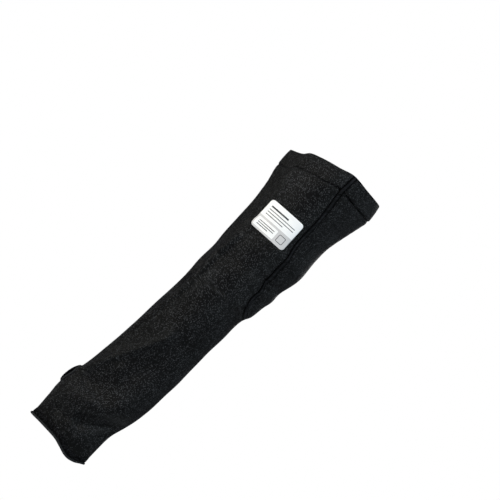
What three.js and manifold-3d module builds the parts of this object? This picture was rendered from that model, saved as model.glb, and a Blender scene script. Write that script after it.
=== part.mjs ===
// Cut resistant arm sleeve, in the form it takes on an arm: a knitted tube from the upper arm
// to the knuckles, with a turned upper hem, one long flat seam, a bound hand edge, a bound
// thumb hole on its side and a small sewn label.
// Millimetres, +Z up the arm. The shown side faces -Y and the thumb hole faces -X.
// The origin is on the arm's axis, in the middle of the upper opening.

import * as THREE from 'three';
import { mergeVertices } from 'three/addons/utils/BufferGeometryUtils.js';
import Module from 'manifold-3d';

// Sleeve, measured flat across the worn form
const sleeveLength = 457;
const handWidth = 86;
const handDepth = 46;
const upperWidth = 122;
const upperDepth = 96;
const knitWall = 1.6;
const pieceGap = 0.3;

// Turned upper hem: two layers of knit, leaning a little at each side
const hemDepth = 23;
const hemWall = 3.2;
const hemPuff = 0.6;
const hemLeanLeft = 2;
const hemLeanRight = 4.6;
const upperEdgeSlant = 32;

// Band round the hand opening, with a rolled lower edge
const handBandHeight = 9;
const handBandWall = 2.4;
const handBandRoll = 0.7;
const handEdgeBow = 6;

// Long seam, lying in a shallow channel of the knit
const seamWidth = 5.4;
const seamThickness = 0.9;
const seamChannelDepth = 1.1;
const seamChannelBank = 1;

// Thumb hole with its rim, on a lip that stands out from the side
const thumbHoleHeight = 69;
const thumbHoleForward = 2.5;
const thumbHoleLength = 24;
const thumbHoleWidth = 11;
const thumbRimWidth = 3;
const thumbRimThickness = 2.8;
const thumbLipHeight = 5.8;
const thumbLipReach = 16;

// Label, its width measured round the sleeve
const labelWidth = 50.5;
const labelHeight = 39.5;
const labelThickness = 0.5;
const labelCornerRadius = 4;
const labelCentreHeight = 367.5;
const labelCentreLeft = 7.4;
const labelTilt = THREE.MathUtils.degToRad(5);
const labelSeat = 0.2;

// Fineness of the faceted forms
const rowsAlong = [
  { upTo: 0.2, rows: 13 },
  { upTo: 0.52, rows: 9 },
  { upTo: 0.64, rows: 9 },
  { upTo: 1, rows: 13 },
];
const columnsAround = 42;
const rimSteps = 28;
const cutterSides = 32;

// Sections of the worn form, from the hand edge (along 0) to the upper edge (along 1).
// left and right are shares of the width at that height, front and back of the depth,
// and pinch says how sharp the two side edges are: 1 is an ellipse, 2 is a lens.
const sections = [
  { along: 0, left: 0.522, right: 0.508, front: 0.48, back: 0.48, pinch: 1.35 },
  { along: 0.026, left: 0.506, right: 0.488, front: 0.48, back: 0.48, pinch: 1.2 },
  { along: 0.066, left: 0.516, right: 0.467, front: 0.46, back: 0.49, pinch: 1.1 },
  { along: 0.11, left: 0.536, right: 0.46, front: 0.47, back: 0.5, pinch: 1.1 },
  { along: 0.153, left: 0.5, right: 0.495, front: 0.5, back: 0.49, pinch: 1.1 },
  { along: 0.197, left: 0.46, right: 0.528, front: 0.5, back: 0.48, pinch: 1.1 },
  { along: 0.241, left: 0.433, right: 0.533, front: 0.49, back: 0.48, pinch: 1.1 },
  { along: 0.328, left: 0.399, right: 0.515, front: 0.48, back: 0.48, pinch: 1.1 },
  { along: 0.438, left: 0.377, right: 0.472, front: 0.48, back: 0.48, pinch: 1.05 },
  { along: 0.503, left: 0.365, right: 0.457, front: 0.48, back: 0.49, pinch: 1.05 },
  { along: 0.565, left: 0.369, right: 0.45, front: 0.48, back: 0.5, pinch: 1.1 },
  { along: 0.591, left: 0.375, right: 0.487, front: 0.48, back: 0.51, pinch: 1.1 },
  { along: 0.63, left: 0.378, right: 0.497, front: 0.48, back: 0.52, pinch: 1.15 },
  { along: 0.656, left: 0.381, right: 0.514, front: 0.48, back: 0.52, pinch: 1.15 },
  { along: 0.687, left: 0.393, right: 0.5, front: 0.48, back: 0.52, pinch: 1.15 },
  { along: 0.755, left: 0.41, right: 0.528, front: 0.48, back: 0.51, pinch: 1.2 },
  { along: 0.814, left: 0.42, right: 0.485, front: 0.49, back: 0.5, pinch: 1.2 },
  { along: 0.858, left: 0.447, right: 0.477, front: 0.5, back: 0.5, pinch: 1.35 },
  { along: 0.919, left: 0.5, right: 0.504, front: 0.5, back: 0.5, pinch: 1.5 },
  { along: 0.985, left: 0.506, right: 0.539, front: 0.5, back: 0.5, pinch: 1.55 },
];

// The seam's place round the sleeve, in degrees: 0 is the right edge, 90 the middle of the
// shown side, and below 0 it runs on the back.
const seamRoute = [
  { along: 0, angle: -2 },
  { along: 0.1, angle: -6 },
  { along: 0.3, angle: -14 },
  { along: 0.5, angle: -13 },
  { along: 0.55, angle: -7 },
  { along: 0.572, angle: 8 },
  { along: 0.586, angle: 31 },
  { along: 0.6, angle: 43 },
  { along: 0.64, angle: 50 },
  { along: 0.687, angle: 54 },
  { along: 0.755, angle: 62 },
  { along: 0.858, angle: 64 },
  { along: 0.92, angle: 69 },
  { along: 0.985, angle: 77 },
  { along: 1.04, angle: 80 },
];
const seamMeanAngle = 30;

// Ridges and valleys of the knit. A path is given as pairs: across the local half-width
// (-1 the left edge, 1 the right edge), and along the sleeve. Lift and reach are shares of
// the hand depth, and a negative lift is a valley.
const folds = [
  { face: 'front', path: [[-0.66, 0.97], [-0.68, 0.86], [-0.76, 0.75], [-0.8, 0.62]], lift: 0.045, reach: 0.13 },
  { face: 'front', path: [[-0.8, 0.66], [-0.83, 0.5], [-0.86, 0.4], [-0.93, 0.3]], lift: 0.04, reach: 0.1 },
  { face: 'front', path: [[-0.9, 0.92], [-0.92, 0.8], [-0.95, 0.68]], lift: -0.03, reach: 0.1 },
  { face: 'front', path: [[-0.1, 0.4], [-0.3, 0.35], [-0.62, 0.28], [-0.8, 0.22], [-0.95, 0.18]], lift: 0.06, reach: 0.16 },
  { face: 'front', path: [[0.35, 0.42], [0.1, 0.3], [-0.25, 0.23], [-0.6, 0.18]], lift: -0.055, reach: 0.26 },
  { face: 'front', path: [[-0.7, 0.11], [0, 0.15], [0.55, 0.2]], lift: 0.06, reach: 0.3 },
  { face: 'front', path: [[0.06, 0.095], [0.32, 0.115], [0.66, 0.138], [0.93, 0.152]], lift: -0.085, reach: 0.13 },
  { face: 'front', path: [[-0.62, 0.07], [-0.25, 0.075], [0.06, 0.09]], lift: -0.04, reach: 0.13 },
  { face: 'front', path: [[0.2, 0.085], [0.6, 0.1], [0.9, 0.12]], lift: 0.03, reach: 0.14 },
  { face: 'front', path: [[0.72, 0.6], [0.85, 0.585], [0.97, 0.575]], lift: 0.045, reach: 0.13 },
  { face: 'front', path: [[0.7, 0.57], [0.95, 0.555]], lift: -0.035, reach: 0.12 },
  { face: 'front', path: [[0.35, 0.682], [0.65, 0.68], [0.95, 0.69]], lift: -0.05, reach: 0.14 },
  { face: 'front', path: [[0.45, 0.8], [0.62, 0.86], [0.8, 0.9]], lift: -0.05, reach: 0.22 },
  { face: 'front', path: [[0.5, 0.76], [0.95, 0.755]], lift: 0.035, reach: 0.2 },
  { face: 'front', path: [[0.3, 0.48], [0.6, 0.46], [0.9, 0.5]], lift: -0.035, reach: 0.2 },
  { face: 'back', path: [[0.9, 0.69], [0.4, 0.67], [-0.1, 0.685]], lift: -0.06, reach: 0.18 },
  { face: 'back', path: [[0.95, 0.6], [0.45, 0.6], [0, 0.62]], lift: -0.06, reach: 0.17 },
  { face: 'back', path: [[0.9, 0.645], [0.4, 0.635], [-0.2, 0.65]], lift: 0.05, reach: 0.2 },
  { face: 'back', path: [[-0.9, 0.2], [-0.5, 0.26], [0, 0.36]], lift: 0.05, reach: 0.2 },
  { face: 'back', path: [[-0.85, 0.13], [-0.3, 0.12], [0.4, 0.16], [0.9, 0.17]], lift: -0.05, reach: 0.18 },
  { face: 'back', path: [[-0.6, 0.93], [-0.6, 0.8], [-0.7, 0.66]], lift: 0.04, reach: 0.2 },
  { face: 'back', path: [[0.6, 0.95], [0.55, 0.85], [0.65, 0.76]], lift: 0.04, reach: 0.22 },
];

// Height of the two open edges over the sleeve's ends, from the left side (across -1) to the
// right (across 1), as shares of the upper edge's slant and of the hand edge's bow.
const upperEdge = [
  { across: -1, front: -0.49, back: -0.49 },
  { across: -0.9, front: -0.41, back: -0.45 },
  { across: -0.75, front: -0.28, back: -0.39 },
  { across: -0.66, front: -0.1, back: -0.34 },
  { across: -0.5, front: 0.05, back: -0.24 },
  { across: -0.3, front: 0.18, back: -0.1 },
  { across: -0.1, front: 0.29, back: 0.05 },
  { across: 0.18, front: 0.47, back: 0.22 },
  { across: 0.6, front: 0.46, back: 0.4 },
  { across: 1, front: 0.47, back: 0.47 },
];
const handEdge = [
  { across: -1, front: 0.2, back: 0.2 },
  { across: -0.7, front: 0.45, back: 0.6 },
  { across: -0.1, front: 0.55, back: 0.5 },
  { across: 0.2, front: 0.1, back: 0.4 },
  { across: 0.45, front: -0.4, back: 0.4 },
  { across: 0.65, front: -0.48, back: 0.5 },
  { across: 0.85, front: -0.1, back: 0.6 },
  { across: 1, front: 0.7, back: 0.7 },
];

// Closed outlines of the two end bands: up is a share of the band's height, inward a share of
// its wall, and roll a share of the rolled edge that stands out. The hem's first rows run up
// its outer face.
const hemOutline = [
  { up: 0, inward: 0 },
  { up: 0.35, inward: 0 },
  { up: 0.7, inward: 0 },
  { up: 0.93, inward: 0.08 },
  { up: 1, inward: 0.5 },
  { up: 0.93, inward: 0.92 },
  { up: 0.5, inward: 1 },
  { up: 0, inward: 1 },
];
const hemFaceRows = 4;
const handBandOutline = [
  { up: 1, inward: 0, roll: 0 },
  { up: 1, inward: 1, roll: 0 },
  { up: 0.35, inward: 1, roll: 0 },
  { up: 0.08, inward: 0.9, roll: 0 },
  { up: 0, inward: 0.5, roll: 0 },
  { up: 0.08, inward: 0, roll: 0.5 },
  { up: 0.25, inward: 0, roll: 1 },
  { up: 0.42, inward: 0, roll: 0 },
];

// A smooth curve through a table's rows, for one of its columns
function readTable(rows, place, at, column) {
  const last = rows.length - 1;
  if (at <= rows[0][place]) return rows[0][column];
  if (at >= rows[last][place]) return rows[last][column];
  let upper = 1;
  while (rows[upper][place] < at) upper += 1;
  const slopeAt = (index) => {
    const before = rows[Math.max(index - 1, 0)];
    const after = rows[Math.min(index + 1, last)];
    return (after[column] - before[column]) / (after[place] - before[place]);
  };
  const a = rows[upper - 1];
  const b = rows[upper];
  const span = b[place] - a[place];
  const t = (at - a[place]) / span;
  const rise = t * t * (3 - 2 * t);
  const leave = slopeAt(upper - 1) * span * t * (1 - t) * (1 - t);
  const arrive = slopeAt(upper) * span * t * t * (t - 1);
  return a[column] + (b[column] - a[column]) * rise + leave + arrive;
}

// The elliptical or lens-like section of the worn form at one height
function sectionAt(height) {
  const along = height / sleeveLength;
  const width = THREE.MathUtils.lerp(handWidth, upperWidth, along);
  const depth = THREE.MathUtils.lerp(handDepth, upperDepth, along);
  const left = readTable(sections, 'along', along, 'left') * width;
  const right = readTable(sections, 'along', along, 'right') * width;
  return {
    centre: (right - left) / 2,
    halfWidth: (right + left) / 2,
    front: readTable(sections, 'along', along, 'front') * depth,
    back: readTable(sections, 'along', along, 'back') * depth,
    pinch: readTable(sections, 'along', along, 'pinch'),
  };
}

function faceOf(angle) {
  return Math.sin(angle) >= 0 ? 'front' : 'back';
}

// A point of the section, before the folds
function formPoint(angle, section) {
  const deep = Math.abs(Math.sin(angle)) ** section.pinch;
  const across = section.centre + section.halfWidth * Math.cos(angle);
  return new THREE.Vector2(across, faceOf(angle) === 'front' ? -section.front * deep : section.back * deep);
}

// The outward direction of the section at an angle, level with the section
function outward(pointAt, angle) {
  const step = 0.02;
  const before = pointAt(angle - step);
  const after = pointAt(angle + step);
  return new THREE.Vector2(before.y - after.y, after.x - before.x).normalize();
}

// Distance from a place on the sleeve to a path of folds, both laid flat
function distanceToPath(across, along, path, halfWidth) {
  const flat = ([shareAcross, shareAlong]) =>
    new THREE.Vector3(shareAcross * halfWidth, 0, shareAlong * sleeveLength);
  const place = flat([across, along]);
  const nearest = new THREE.Vector3();
  let distance = Infinity;
  for (let index = 1; index < path.length; index += 1) {
    new THREE.Line3(flat(path[index - 1]), flat(path[index])).closestPointToPoint(place, true, nearest);
    distance = Math.min(distance, nearest.distanceTo(place));
  }
  return distance;
}

const foldFadePower = 12;

function foldLift(angle, height, section) {
  const face = faceOf(angle);
  let lift = 0;
  for (const fold of folds) {
    if (fold.face === face) {
      const distance = distanceToPath(Math.cos(angle), height / sleeveLength, fold.path, section.halfWidth);
      const share = distance / (fold.reach * handDepth);
      lift += fold.lift * handDepth * Math.exp(-share * share);
    }
  }
  // The folds of both faces die out at the side edges, where the faces meet
  return lift * (1 - Math.abs(Math.cos(angle)) ** foldFadePower);
}

// The lip at the thumb hole, an arch along the left edge
function thumbLift(angle, height, section) {
  if (Math.cos(angle) > 0) return 0;
  const along = (height - thumbHoleHeight) / thumbLipReach;
  const away = (formPoint(angle, section).y + thumbHoleForward) / (thumbHoleWidth + thumbRimWidth);
  return thumbLipHeight * Math.max(0, 1 - along * along) * Math.exp(-away * away);
}

// The knit's outer face, with folds and lip
function knitPoint(angle, height) {
  const section = sectionAt(height);
  const form = formPoint(angle, section);
  const out = outward((other) => formPoint(other, section), angle);
  const lift = foldLift(angle, height, section) + thumbLift(angle, height, section);
  return new THREE.Vector3(form.x + out.x * lift, form.y + out.y * lift, height);
}

// A point at some depth under a face that is given by angle, level with it
function underFace(pointAt, angle, depth) {
  const out = outward(pointAt, angle);
  const point = pointAt(angle);
  return new THREE.Vector3(point.x - out.x * depth, point.y - out.y * depth, point.z);
}

function edgeRise(table, angle) {
  return readTable(table, 'across', Math.cos(angle), faceOf(angle));
}

function upperEdgeHeight(angle) {
  return sleeveLength + upperEdgeSlant * edgeRise(upperEdge, angle);
}

function stitchLineHeight(angle) {
  return upperEdgeHeight(angle) - hemDepth;
}

function handEdgeHeight(angle) {
  return handEdgeBow * edgeRise(handEdge, angle);
}

// The hem's outer face stands on the knit's at the stitch line, leans at the sides and is a
// little full between its edges.
function hemPoint(angle, up) {
  const stitch = stitchLineHeight(angle);
  const foot = knitPoint(angle, stitch);
  const across = Math.cos(angle);
  const lean = (across > 0 ? -hemLeanRight : -hemLeanLeft) * across * across * up;
  const puff = hemPuff * Math.sin(Math.PI * up);
  const out = outward((other) => knitPoint(other, stitch), angle);
  return new THREE.Vector3(foot.x + lean + out.x * puff, foot.y + out.y * puff, stitch + hemDepth * up);
}

// The seam's place round the sleeve at one height
function seamAngle(height) {
  return THREE.MathUtils.degToRad(readTable(seamRoute, 'along', height / sleeveLength, 'angle'));
}

// The angle that a level distance from the seam takes up there, when the seam's own width is
// given: it is longer where the seam crosses the sleeve aslant.
function seamReach(height, width) {
  const section = sectionAt(height);
  const turn = 0.002;
  const angle = seamAngle(height);
  const chord = formPoint(angle + turn, section).distanceTo(formPoint(angle - turn, section));
  const radius = chord / (2 * turn);
  const rise = 1;
  const slant = ((seamAngle(height + rise) - seamAngle(height - rise)) * radius) / (2 * rise);
  return (width * Math.sqrt(1 + slant * slant)) / radius;
}

// The height at which a column that turns as it rises meets a slanting edge: the edge's height
// depends on the angle and the angle on the height, so a few rounds settle both.
function meet(angleAt, edgeAt) {
  const rounds = 12;
  let height = sleeveLength / 2;
  for (let round = 0; round < rounds; round += 1) {
    height = edgeAt(angleAt(height));
  }
  return height;
}

// A column of the grid: its angle at each height, how deep it lies in the seam's channel, and
// where it meets the edges. The tube ends clear of the hand band and of the hem.
function column(angleAt, sink) {
  return {
    angleAt,
    sink,
    handEdge: meet(angleAt, handEdgeHeight),
    tubeLow: meet(angleAt, (angle) => handEdgeHeight(angle) + handBandHeight + pieceGap),
    tubeHigh: meet(angleAt, (angle) => stitchLineHeight(angle) - pieceGap),
    stitch: meet(angleAt, stitchLineHeight),
  };
}

// The columns follow the seam as the knit's rows of loops do. Three of them lie in the seam's
// channel, one on each bank of it, and the rest go round the back.
const channelHalf = seamWidth / 2 + pieceGap;
const channelColumns = [
  { offset: -channelHalf - seamChannelBank, sink: 0 },
  { offset: -channelHalf, sink: seamChannelDepth },
  { offset: 0, sink: seamChannelDepth },
  { offset: channelHalf, sink: seamChannelDepth },
  { offset: channelHalf + seamChannelBank, sink: 0 },
];

function knitColumns() {
  const list = channelColumns.map(({ offset, sink }) =>
    column((height) => seamAngle(height) + seamReach(height, offset), sink));
  const bank = channelHalf + seamChannelBank;
  for (let index = 1; index < columnsAround; index += 1) {
    const round = index / columnsAround;
    const lag = Math.sin(Math.PI * round) ** 2;
    list.push(column((height) => {
      const edge = seamReach(height, bank);
      const twist = seamAngle(height) - THREE.MathUtils.degToRad(seamMeanAngle);
      return seamAngle(height) + edge + round * (2 * Math.PI - 2 * edge) - twist * lag;
    }, 0));
  }
  return list;
}

// A solid from a grid of points, where pointAt gives the point of a ring and a step. Its faces
// run round both ways, or round one way between two end faces. There the first half of the
// ring's steps is one side of the solid and the second half, backwards, is the other.
function ringSolid(rings, steps, pointAt, closed) {
  const positions = [];
  for (let ring = 0; ring < rings; ring += 1) {
    for (let step = 0; step < steps; step += 1) {
      positions.push(...pointAt(ring, step).toArray());
    }
  }
  const indices = [];
  const spans = closed ? rings : rings - 1;
  for (let ring = 0; ring < spans; ring += 1) {
    for (let step = 0; step < steps; step += 1) {
      const a = ring * steps + step;
      const b = ring * steps + ((step + 1) % steps);
      const c = ((ring + 1) % rings) * steps + ((step + 1) % steps);
      const d = ((ring + 1) % rings) * steps + step;
      indices.push(a, b, c, a, c, d);
    }
  }
  if (!closed) {
    const end = (rings - 1) * steps;
    for (let step = 0; step < steps / 2 - 1; step += 1) {
      const far = steps - 1 - step;
      indices.push(step, far, step + 1, far, far - 1, step + 1);
      indices.push(end + step, end + step + 1, end + far, end + far, end + step + 1, end + far - 1);
    }
  }
  return outwardFaces(positions, indices);
}

// Puts a solid's faces the right way out, by the sign of its volume
function outwardFaces(positions, indices) {
  const corner = (index) => new THREE.Vector3().fromArray(positions, indices[index] * 3);
  let volume = 0;
  for (let index = 0; index < indices.length; index += 3) {
    volume += corner(index).dot(corner(index + 1).cross(corner(index + 2)));
  }
  if (volume < 0) indices.reverse();
  const geometry = new THREE.BufferGeometry();
  geometry.setAttribute('position', new THREE.Float32BufferAttribute(positions, 3));
  geometry.setIndex(indices);
  return geometry;
}

function alongShares() {
  const shares = [0];
  for (const span of rowsAlong) {
    const from = shares[shares.length - 1];
    for (let row = 1; row <= span.rows; row += 1) {
      shares.push(from + ((span.upTo - from) * row) / span.rows);
    }
  }
  return shares;
}

const columns = knitColumns();
const shares = alongShares();

function tubePoint({ angleAt, tubeLow, tubeHigh }, share, depth) {
  const height = THREE.MathUtils.lerp(tubeLow, tubeHigh, share);
  return underFace((angle) => knitPoint(angle, height), angleAt(height), depth);
}

function knitTube() {
  const outer = shares.map((share) => ({ share, depth: 0 }));
  const inner = shares.map((share) => ({ share, depth: knitWall })).reverse();
  const loop = [...outer, ...inner];
  return ringSolid(
    columns.length,
    loop.length,
    (ring, step) => tubePoint(columns[ring], loop[step].share, columns[ring].sink + loop[step].depth),
    true,
  );
}

function hemFace({ angleAt, stitch }, up, depth) {
  return underFace((angle) => hemPoint(angle, up), angleAt(stitch), depth);
}

function upperHem() {
  return ringSolid(
    columns.length,
    hemOutline.length,
    (ring, step) => {
      const { up, inward } = hemOutline[step];
      return hemFace(columns[ring], up, columns[ring].sink + inward * hemWall);
    },
    true,
  );
}

// The seam's strip lies on the channel's floor, over the tube and on over the hem
function sideSeam() {
  const strip = [-seamWidth / 2, 0, seamWidth / 2].map((offset) =>
    column((height) => seamAngle(height) + seamReach(height, offset), 0));
  const floor = seamChannelDepth - pieceGap;
  const section = [
    ...strip.map((line) => ({ line, depth: floor })),
    ...[...strip].reverse().map((line) => ({ line, depth: floor - seamThickness })),
  ];
  const hemRows = hemOutline.slice(1, hemFaceRows);
  const rows = shares.length + hemRows.length;
  return ringSolid(
    rows,
    section.length,
    (ring, step) => {
      const { line, depth } = section[step];
      if (ring < shares.length) return tubePoint(line, shares[ring], depth);
      const { up, inward } = hemRows[ring - shares.length];
      return hemFace(line, up, depth + inward * hemWall);
    },
    false,
  );
}

function handBinding() {
  return ringSolid(
    columns.length,
    handBandOutline.length,
    (ring, step) => {
      const { angleAt, handEdge: foot } = columns[ring];
      const { up, inward, roll } = handBandOutline[step];
      const height = foot + up * handBandHeight;
      const depth = inward * handBandWall - roll * handBandRoll;
      return underFace((angle) => knitPoint(angle, height), angleAt(foot), depth);
    },
    true,
  );
}

// The angle at which the knit's left side stands at a distance to the front or back
function leftSideAngle(forward, height) {
  let low = Math.PI / 2;
  let high = (3 * Math.PI) / 2;
  const halvings = 40;
  for (let round = 0; round < halvings; round += 1) {
    const middle = (low + high) / 2;
    if (knitPoint(middle, height).y < -forward) low = middle;
    else high = middle;
  }
  return (low + high) / 2;
}

function thumbBinding() {
  const section = [];
  const corners = 6;
  for (let corner = 0; corner < corners; corner += 1) {
    const turn = ((corner + 0.5) / corners) * 2 * Math.PI;
    section.push({ out: Math.cos(turn), aside: Math.sin(turn) });
  }
  const widest = Math.max(...section.map(({ aside }) => aside));
  const thickest = Math.max(...section.map(({ out }) => out));
  return ringSolid(
    rimSteps,
    corners,
    (ring, step) => {
      const turn = (ring / rimSteps) * 2 * Math.PI;
      const aside = (section[step].aside / widest) * (thumbRimWidth / 2);
      const out = (section[step].out / thickest) * (thumbRimThickness / 2);
      const middleWidth = thumbHoleWidth / 2 + thumbRimWidth / 2;
      const middleLength = thumbHoleLength / 2 + thumbRimWidth / 2;
      const forward = thumbHoleForward + middleWidth * Math.cos(turn);
      const height = thumbHoleHeight + middleLength * Math.sin(turn);
      const wall = underFace((angle) => knitPoint(angle, height), leftSideAngle(forward, height), knitWall / 2);
      const away = new THREE.Vector2(Math.cos(turn) / middleWidth, Math.sin(turn) / middleLength).normalize();
      return new THREE.Vector3(wall.x - out, -forward - away.x * aside, height + away.y * aside);
    },
    true,
  );
}

// The cut for the thumb hole: an oval prism through the left wall, clear of the rim
function thumbCutter() {
  const margin = thumbRimWidth + pieceGap;
  const oval = new THREE.Shape();
  oval.absellipse(0, 0, thumbHoleLength / 2 + margin, thumbHoleWidth / 2 + margin, 0, 2 * Math.PI);
  const section = sectionAt(thumbHoleHeight);
  const depth = section.halfWidth;
  const geometry = new THREE.ExtrudeGeometry(oval, {
    depth,
    steps: 1,
    bevelEnabled: false,
    curveSegments: cutterSides / 4,
  });
  geometry.rotateY(-Math.PI / 2);
  geometry.translate(section.centre - section.halfWidth / 2, -thumbHoleForward, thumbHoleHeight);
  return geometry;
}

// The label follows the knit at a small seat over it. Its rows are laid level and its width
// is measured round the sleeve from its middle.
function labelRows() {
  const rows = [];
  const straight = labelHeight / 2 - labelCornerRadius;
  const cornerSteps = 3;
  for (let step = 0; step <= cornerSteps; step += 1) {
    const turn = (step / cornerSteps) * (Math.PI / 2);
    const up = straight + labelCornerRadius * Math.cos(turn);
    const half = labelWidth / 2 - labelCornerRadius * (1 - Math.sin(turn));
    rows.push({ up, half });
  }
  const middleSteps = 3;
  for (let step = 1; step < middleSteps; step += 1) {
    rows.push({ up: straight - (2 * straight * step) / middleSteps, half: labelWidth / 2 });
  }
  const lower = rows.slice(0, cornerSteps + 1).reverse();
  return [...rows, ...lower.map(({ up, half }) => ({ up: -up, half }))];
}

// The angle reached by going a distance round the knit from a starting angle
function goRound(start, distance, height) {
  const steps = 24;
  let angle = start;
  let point = knitPoint(angle, height);
  const stride = distance / steps;
  for (let step = 0; step < steps; step += 1) {
    const probe = 0.01;
    const pace = point.distanceTo(knitPoint(angle + probe, height)) / probe;
    angle += stride / pace;
    point = knitPoint(angle, height);
  }
  return angle;
}

function label() {
  const rows = labelRows();
  const columnsAcross = 12;
  const middleAt = (height) => {
    const section = sectionAt(height);
    return Math.acos((-labelCentreLeft - section.centre) / section.halfWidth);
  };
  const pointAt = (row, column, depth) => {
    const { up, half } = rows[row];
    const across = half * ((2 * column) / columnsAcross - 1);
    const height = labelCentreHeight + up * Math.cos(labelTilt) + across * Math.sin(labelTilt);
    const round = across * Math.cos(labelTilt) - up * Math.sin(labelTilt);
    const angle = goRound(middleAt(height), -round, height);
    return underFace((other) => knitPoint(other, height), angle, depth);
  };
  const back = -(pieceGap + labelSeat);
  const loop = [];
  for (let column = 0; column <= columnsAcross; column += 1) loop.push({ column, depth: back });
  for (let column = columnsAcross; column >= 0; column -= 1) {
    loop.push({ column, depth: back - labelThickness });
  }
  return ringSolid(
    rows.length,
    loop.length,
    (ring, step) => pointAt(ring, loop[step].column, loop[step].depth),
    false,
  );
}

// Boolean cuts
const wasm = await Module();
wasm.setup();

function toManifold(geometry) {
  const plain = geometry.clone();
  plain.deleteAttribute('normal');
  plain.deleteAttribute('uv');
  const merged = mergeVertices(plain);
  return new wasm.Manifold(new wasm.Mesh({
    numProp: 3,
    vertProperties: new Float32Array(merged.attributes.position.array),
    triVerts: new Uint32Array(merged.index.array),
  }));
}

function cutAway(geometry, cutter) {
  const mesh = toManifold(geometry).subtract(toManifold(cutter)).getMesh();
  const result = new THREE.BufferGeometry();
  result.setAttribute('position', new THREE.BufferAttribute(mesh.vertProperties, 3));
  result.setIndex(new THREE.BufferAttribute(mesh.triVerts, 1));
  return result;
}

function piece(name, geometry, colour, roughness) {
  geometry.computeVertexNormals();
  const material = new THREE.MeshStandardMaterial({ color: colour, roughness, metalness: 0 });
  const mesh = new THREE.Mesh(geometry, material);
  mesh.name = name;
  return mesh;
}

const knitBlack = 0x1a1b1e;
const threadBlack = 0x0e0f11;
const labelWhite = 0xf1f1ee;

const tube = piece('knit_tube', cutAway(knitTube(), thumbCutter()), knitBlack, 0.95);
const hem = piece('upper_hem', upperHem(), knitBlack, 0.95);
const seam = piece('side_seam', sideSeam(), threadBlack, 0.8);
const handBand = piece('hand_binding', handBinding(), threadBlack, 0.8);
const thumbRim = piece('thumb_binding', thumbBinding(), threadBlack, 0.8);
const sewnLabel = piece('label', label(), labelWhite, 0.6);

// The forms are worked out from the hand edge, and the whole hangs from the upper opening
const body = new THREE.Group();
body.add(tube, seam, sewnLabel);
const upperEnd = new THREE.Group();
upperEnd.add(hem);
const handEnd = new THREE.Group();
handEnd.add(handBand, thumbRim);

const sleeve = new THREE.Group();
sleeve.add(body, upperEnd, handEnd);
sleeve.position.z = -sleeveLength;

export default sleeve;
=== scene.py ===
"""Cut resistant arm sleeve in the form it takes on an arm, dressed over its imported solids.

The forms are worked out in millimetres from the hand edge up, as the solids are, and are
written in metres in the row's own frame: +Z up the arm, the shown side facing -Y, the thumb
hole facing -X, and the origin in the middle of the upper opening.
"""

import logging
import math
from dataclasses import dataclass
from enum import Enum
from typing import Callable, NamedTuple, Sequence

import bmesh
import bpy
import numpy as np
from mathutils import Matrix, Vector


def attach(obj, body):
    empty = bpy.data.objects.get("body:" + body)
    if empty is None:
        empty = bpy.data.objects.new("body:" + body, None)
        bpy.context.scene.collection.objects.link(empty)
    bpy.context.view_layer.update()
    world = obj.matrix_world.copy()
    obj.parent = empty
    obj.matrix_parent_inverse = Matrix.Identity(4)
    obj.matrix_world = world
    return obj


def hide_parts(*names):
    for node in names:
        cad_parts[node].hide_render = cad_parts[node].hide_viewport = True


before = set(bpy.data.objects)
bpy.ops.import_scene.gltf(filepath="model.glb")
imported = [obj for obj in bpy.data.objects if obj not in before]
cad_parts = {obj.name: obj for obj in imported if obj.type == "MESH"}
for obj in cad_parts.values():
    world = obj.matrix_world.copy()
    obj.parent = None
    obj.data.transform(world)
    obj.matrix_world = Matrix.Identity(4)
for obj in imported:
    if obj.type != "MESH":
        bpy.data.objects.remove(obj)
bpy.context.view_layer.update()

LOG = logging.getLogger("sleeve")
MM = 0.001
TURN = 2 * math.pi
# Metres within which the two borders of a closed grid are one
WELD = 0.00002
# Millimetres that lie past the end of every piece
NOWHERE = 99.0
# A line that no cell's chance passes
NEVER = 9.0


class Face(Enum):
    """The two faces of the worn sleeve, as its tables name them."""

    FRONT = "front"
    BACK = "back"


class Section(NamedTuple):
    """Shares of the local width and depth at one share of the length, and the side pinch."""

    along: float
    left: float
    right: float
    front: float
    back: float
    pinch: float


class SeamPlace(NamedTuple):
    """The seam's angle round the sleeve in degrees, at one share of the length."""

    along: float
    angle: float


class EdgePlace(NamedTuple):
    """Rise of an open edge on both faces, at one share of the half width."""

    across: float
    front: float
    back: float


class Fold(NamedTuple):
    """A ridge or valley: its path in shares of half width and length, its lift and reach."""

    face: Face
    path: tuple[tuple[float, float], ...]
    lift: float
    reach: float


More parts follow.
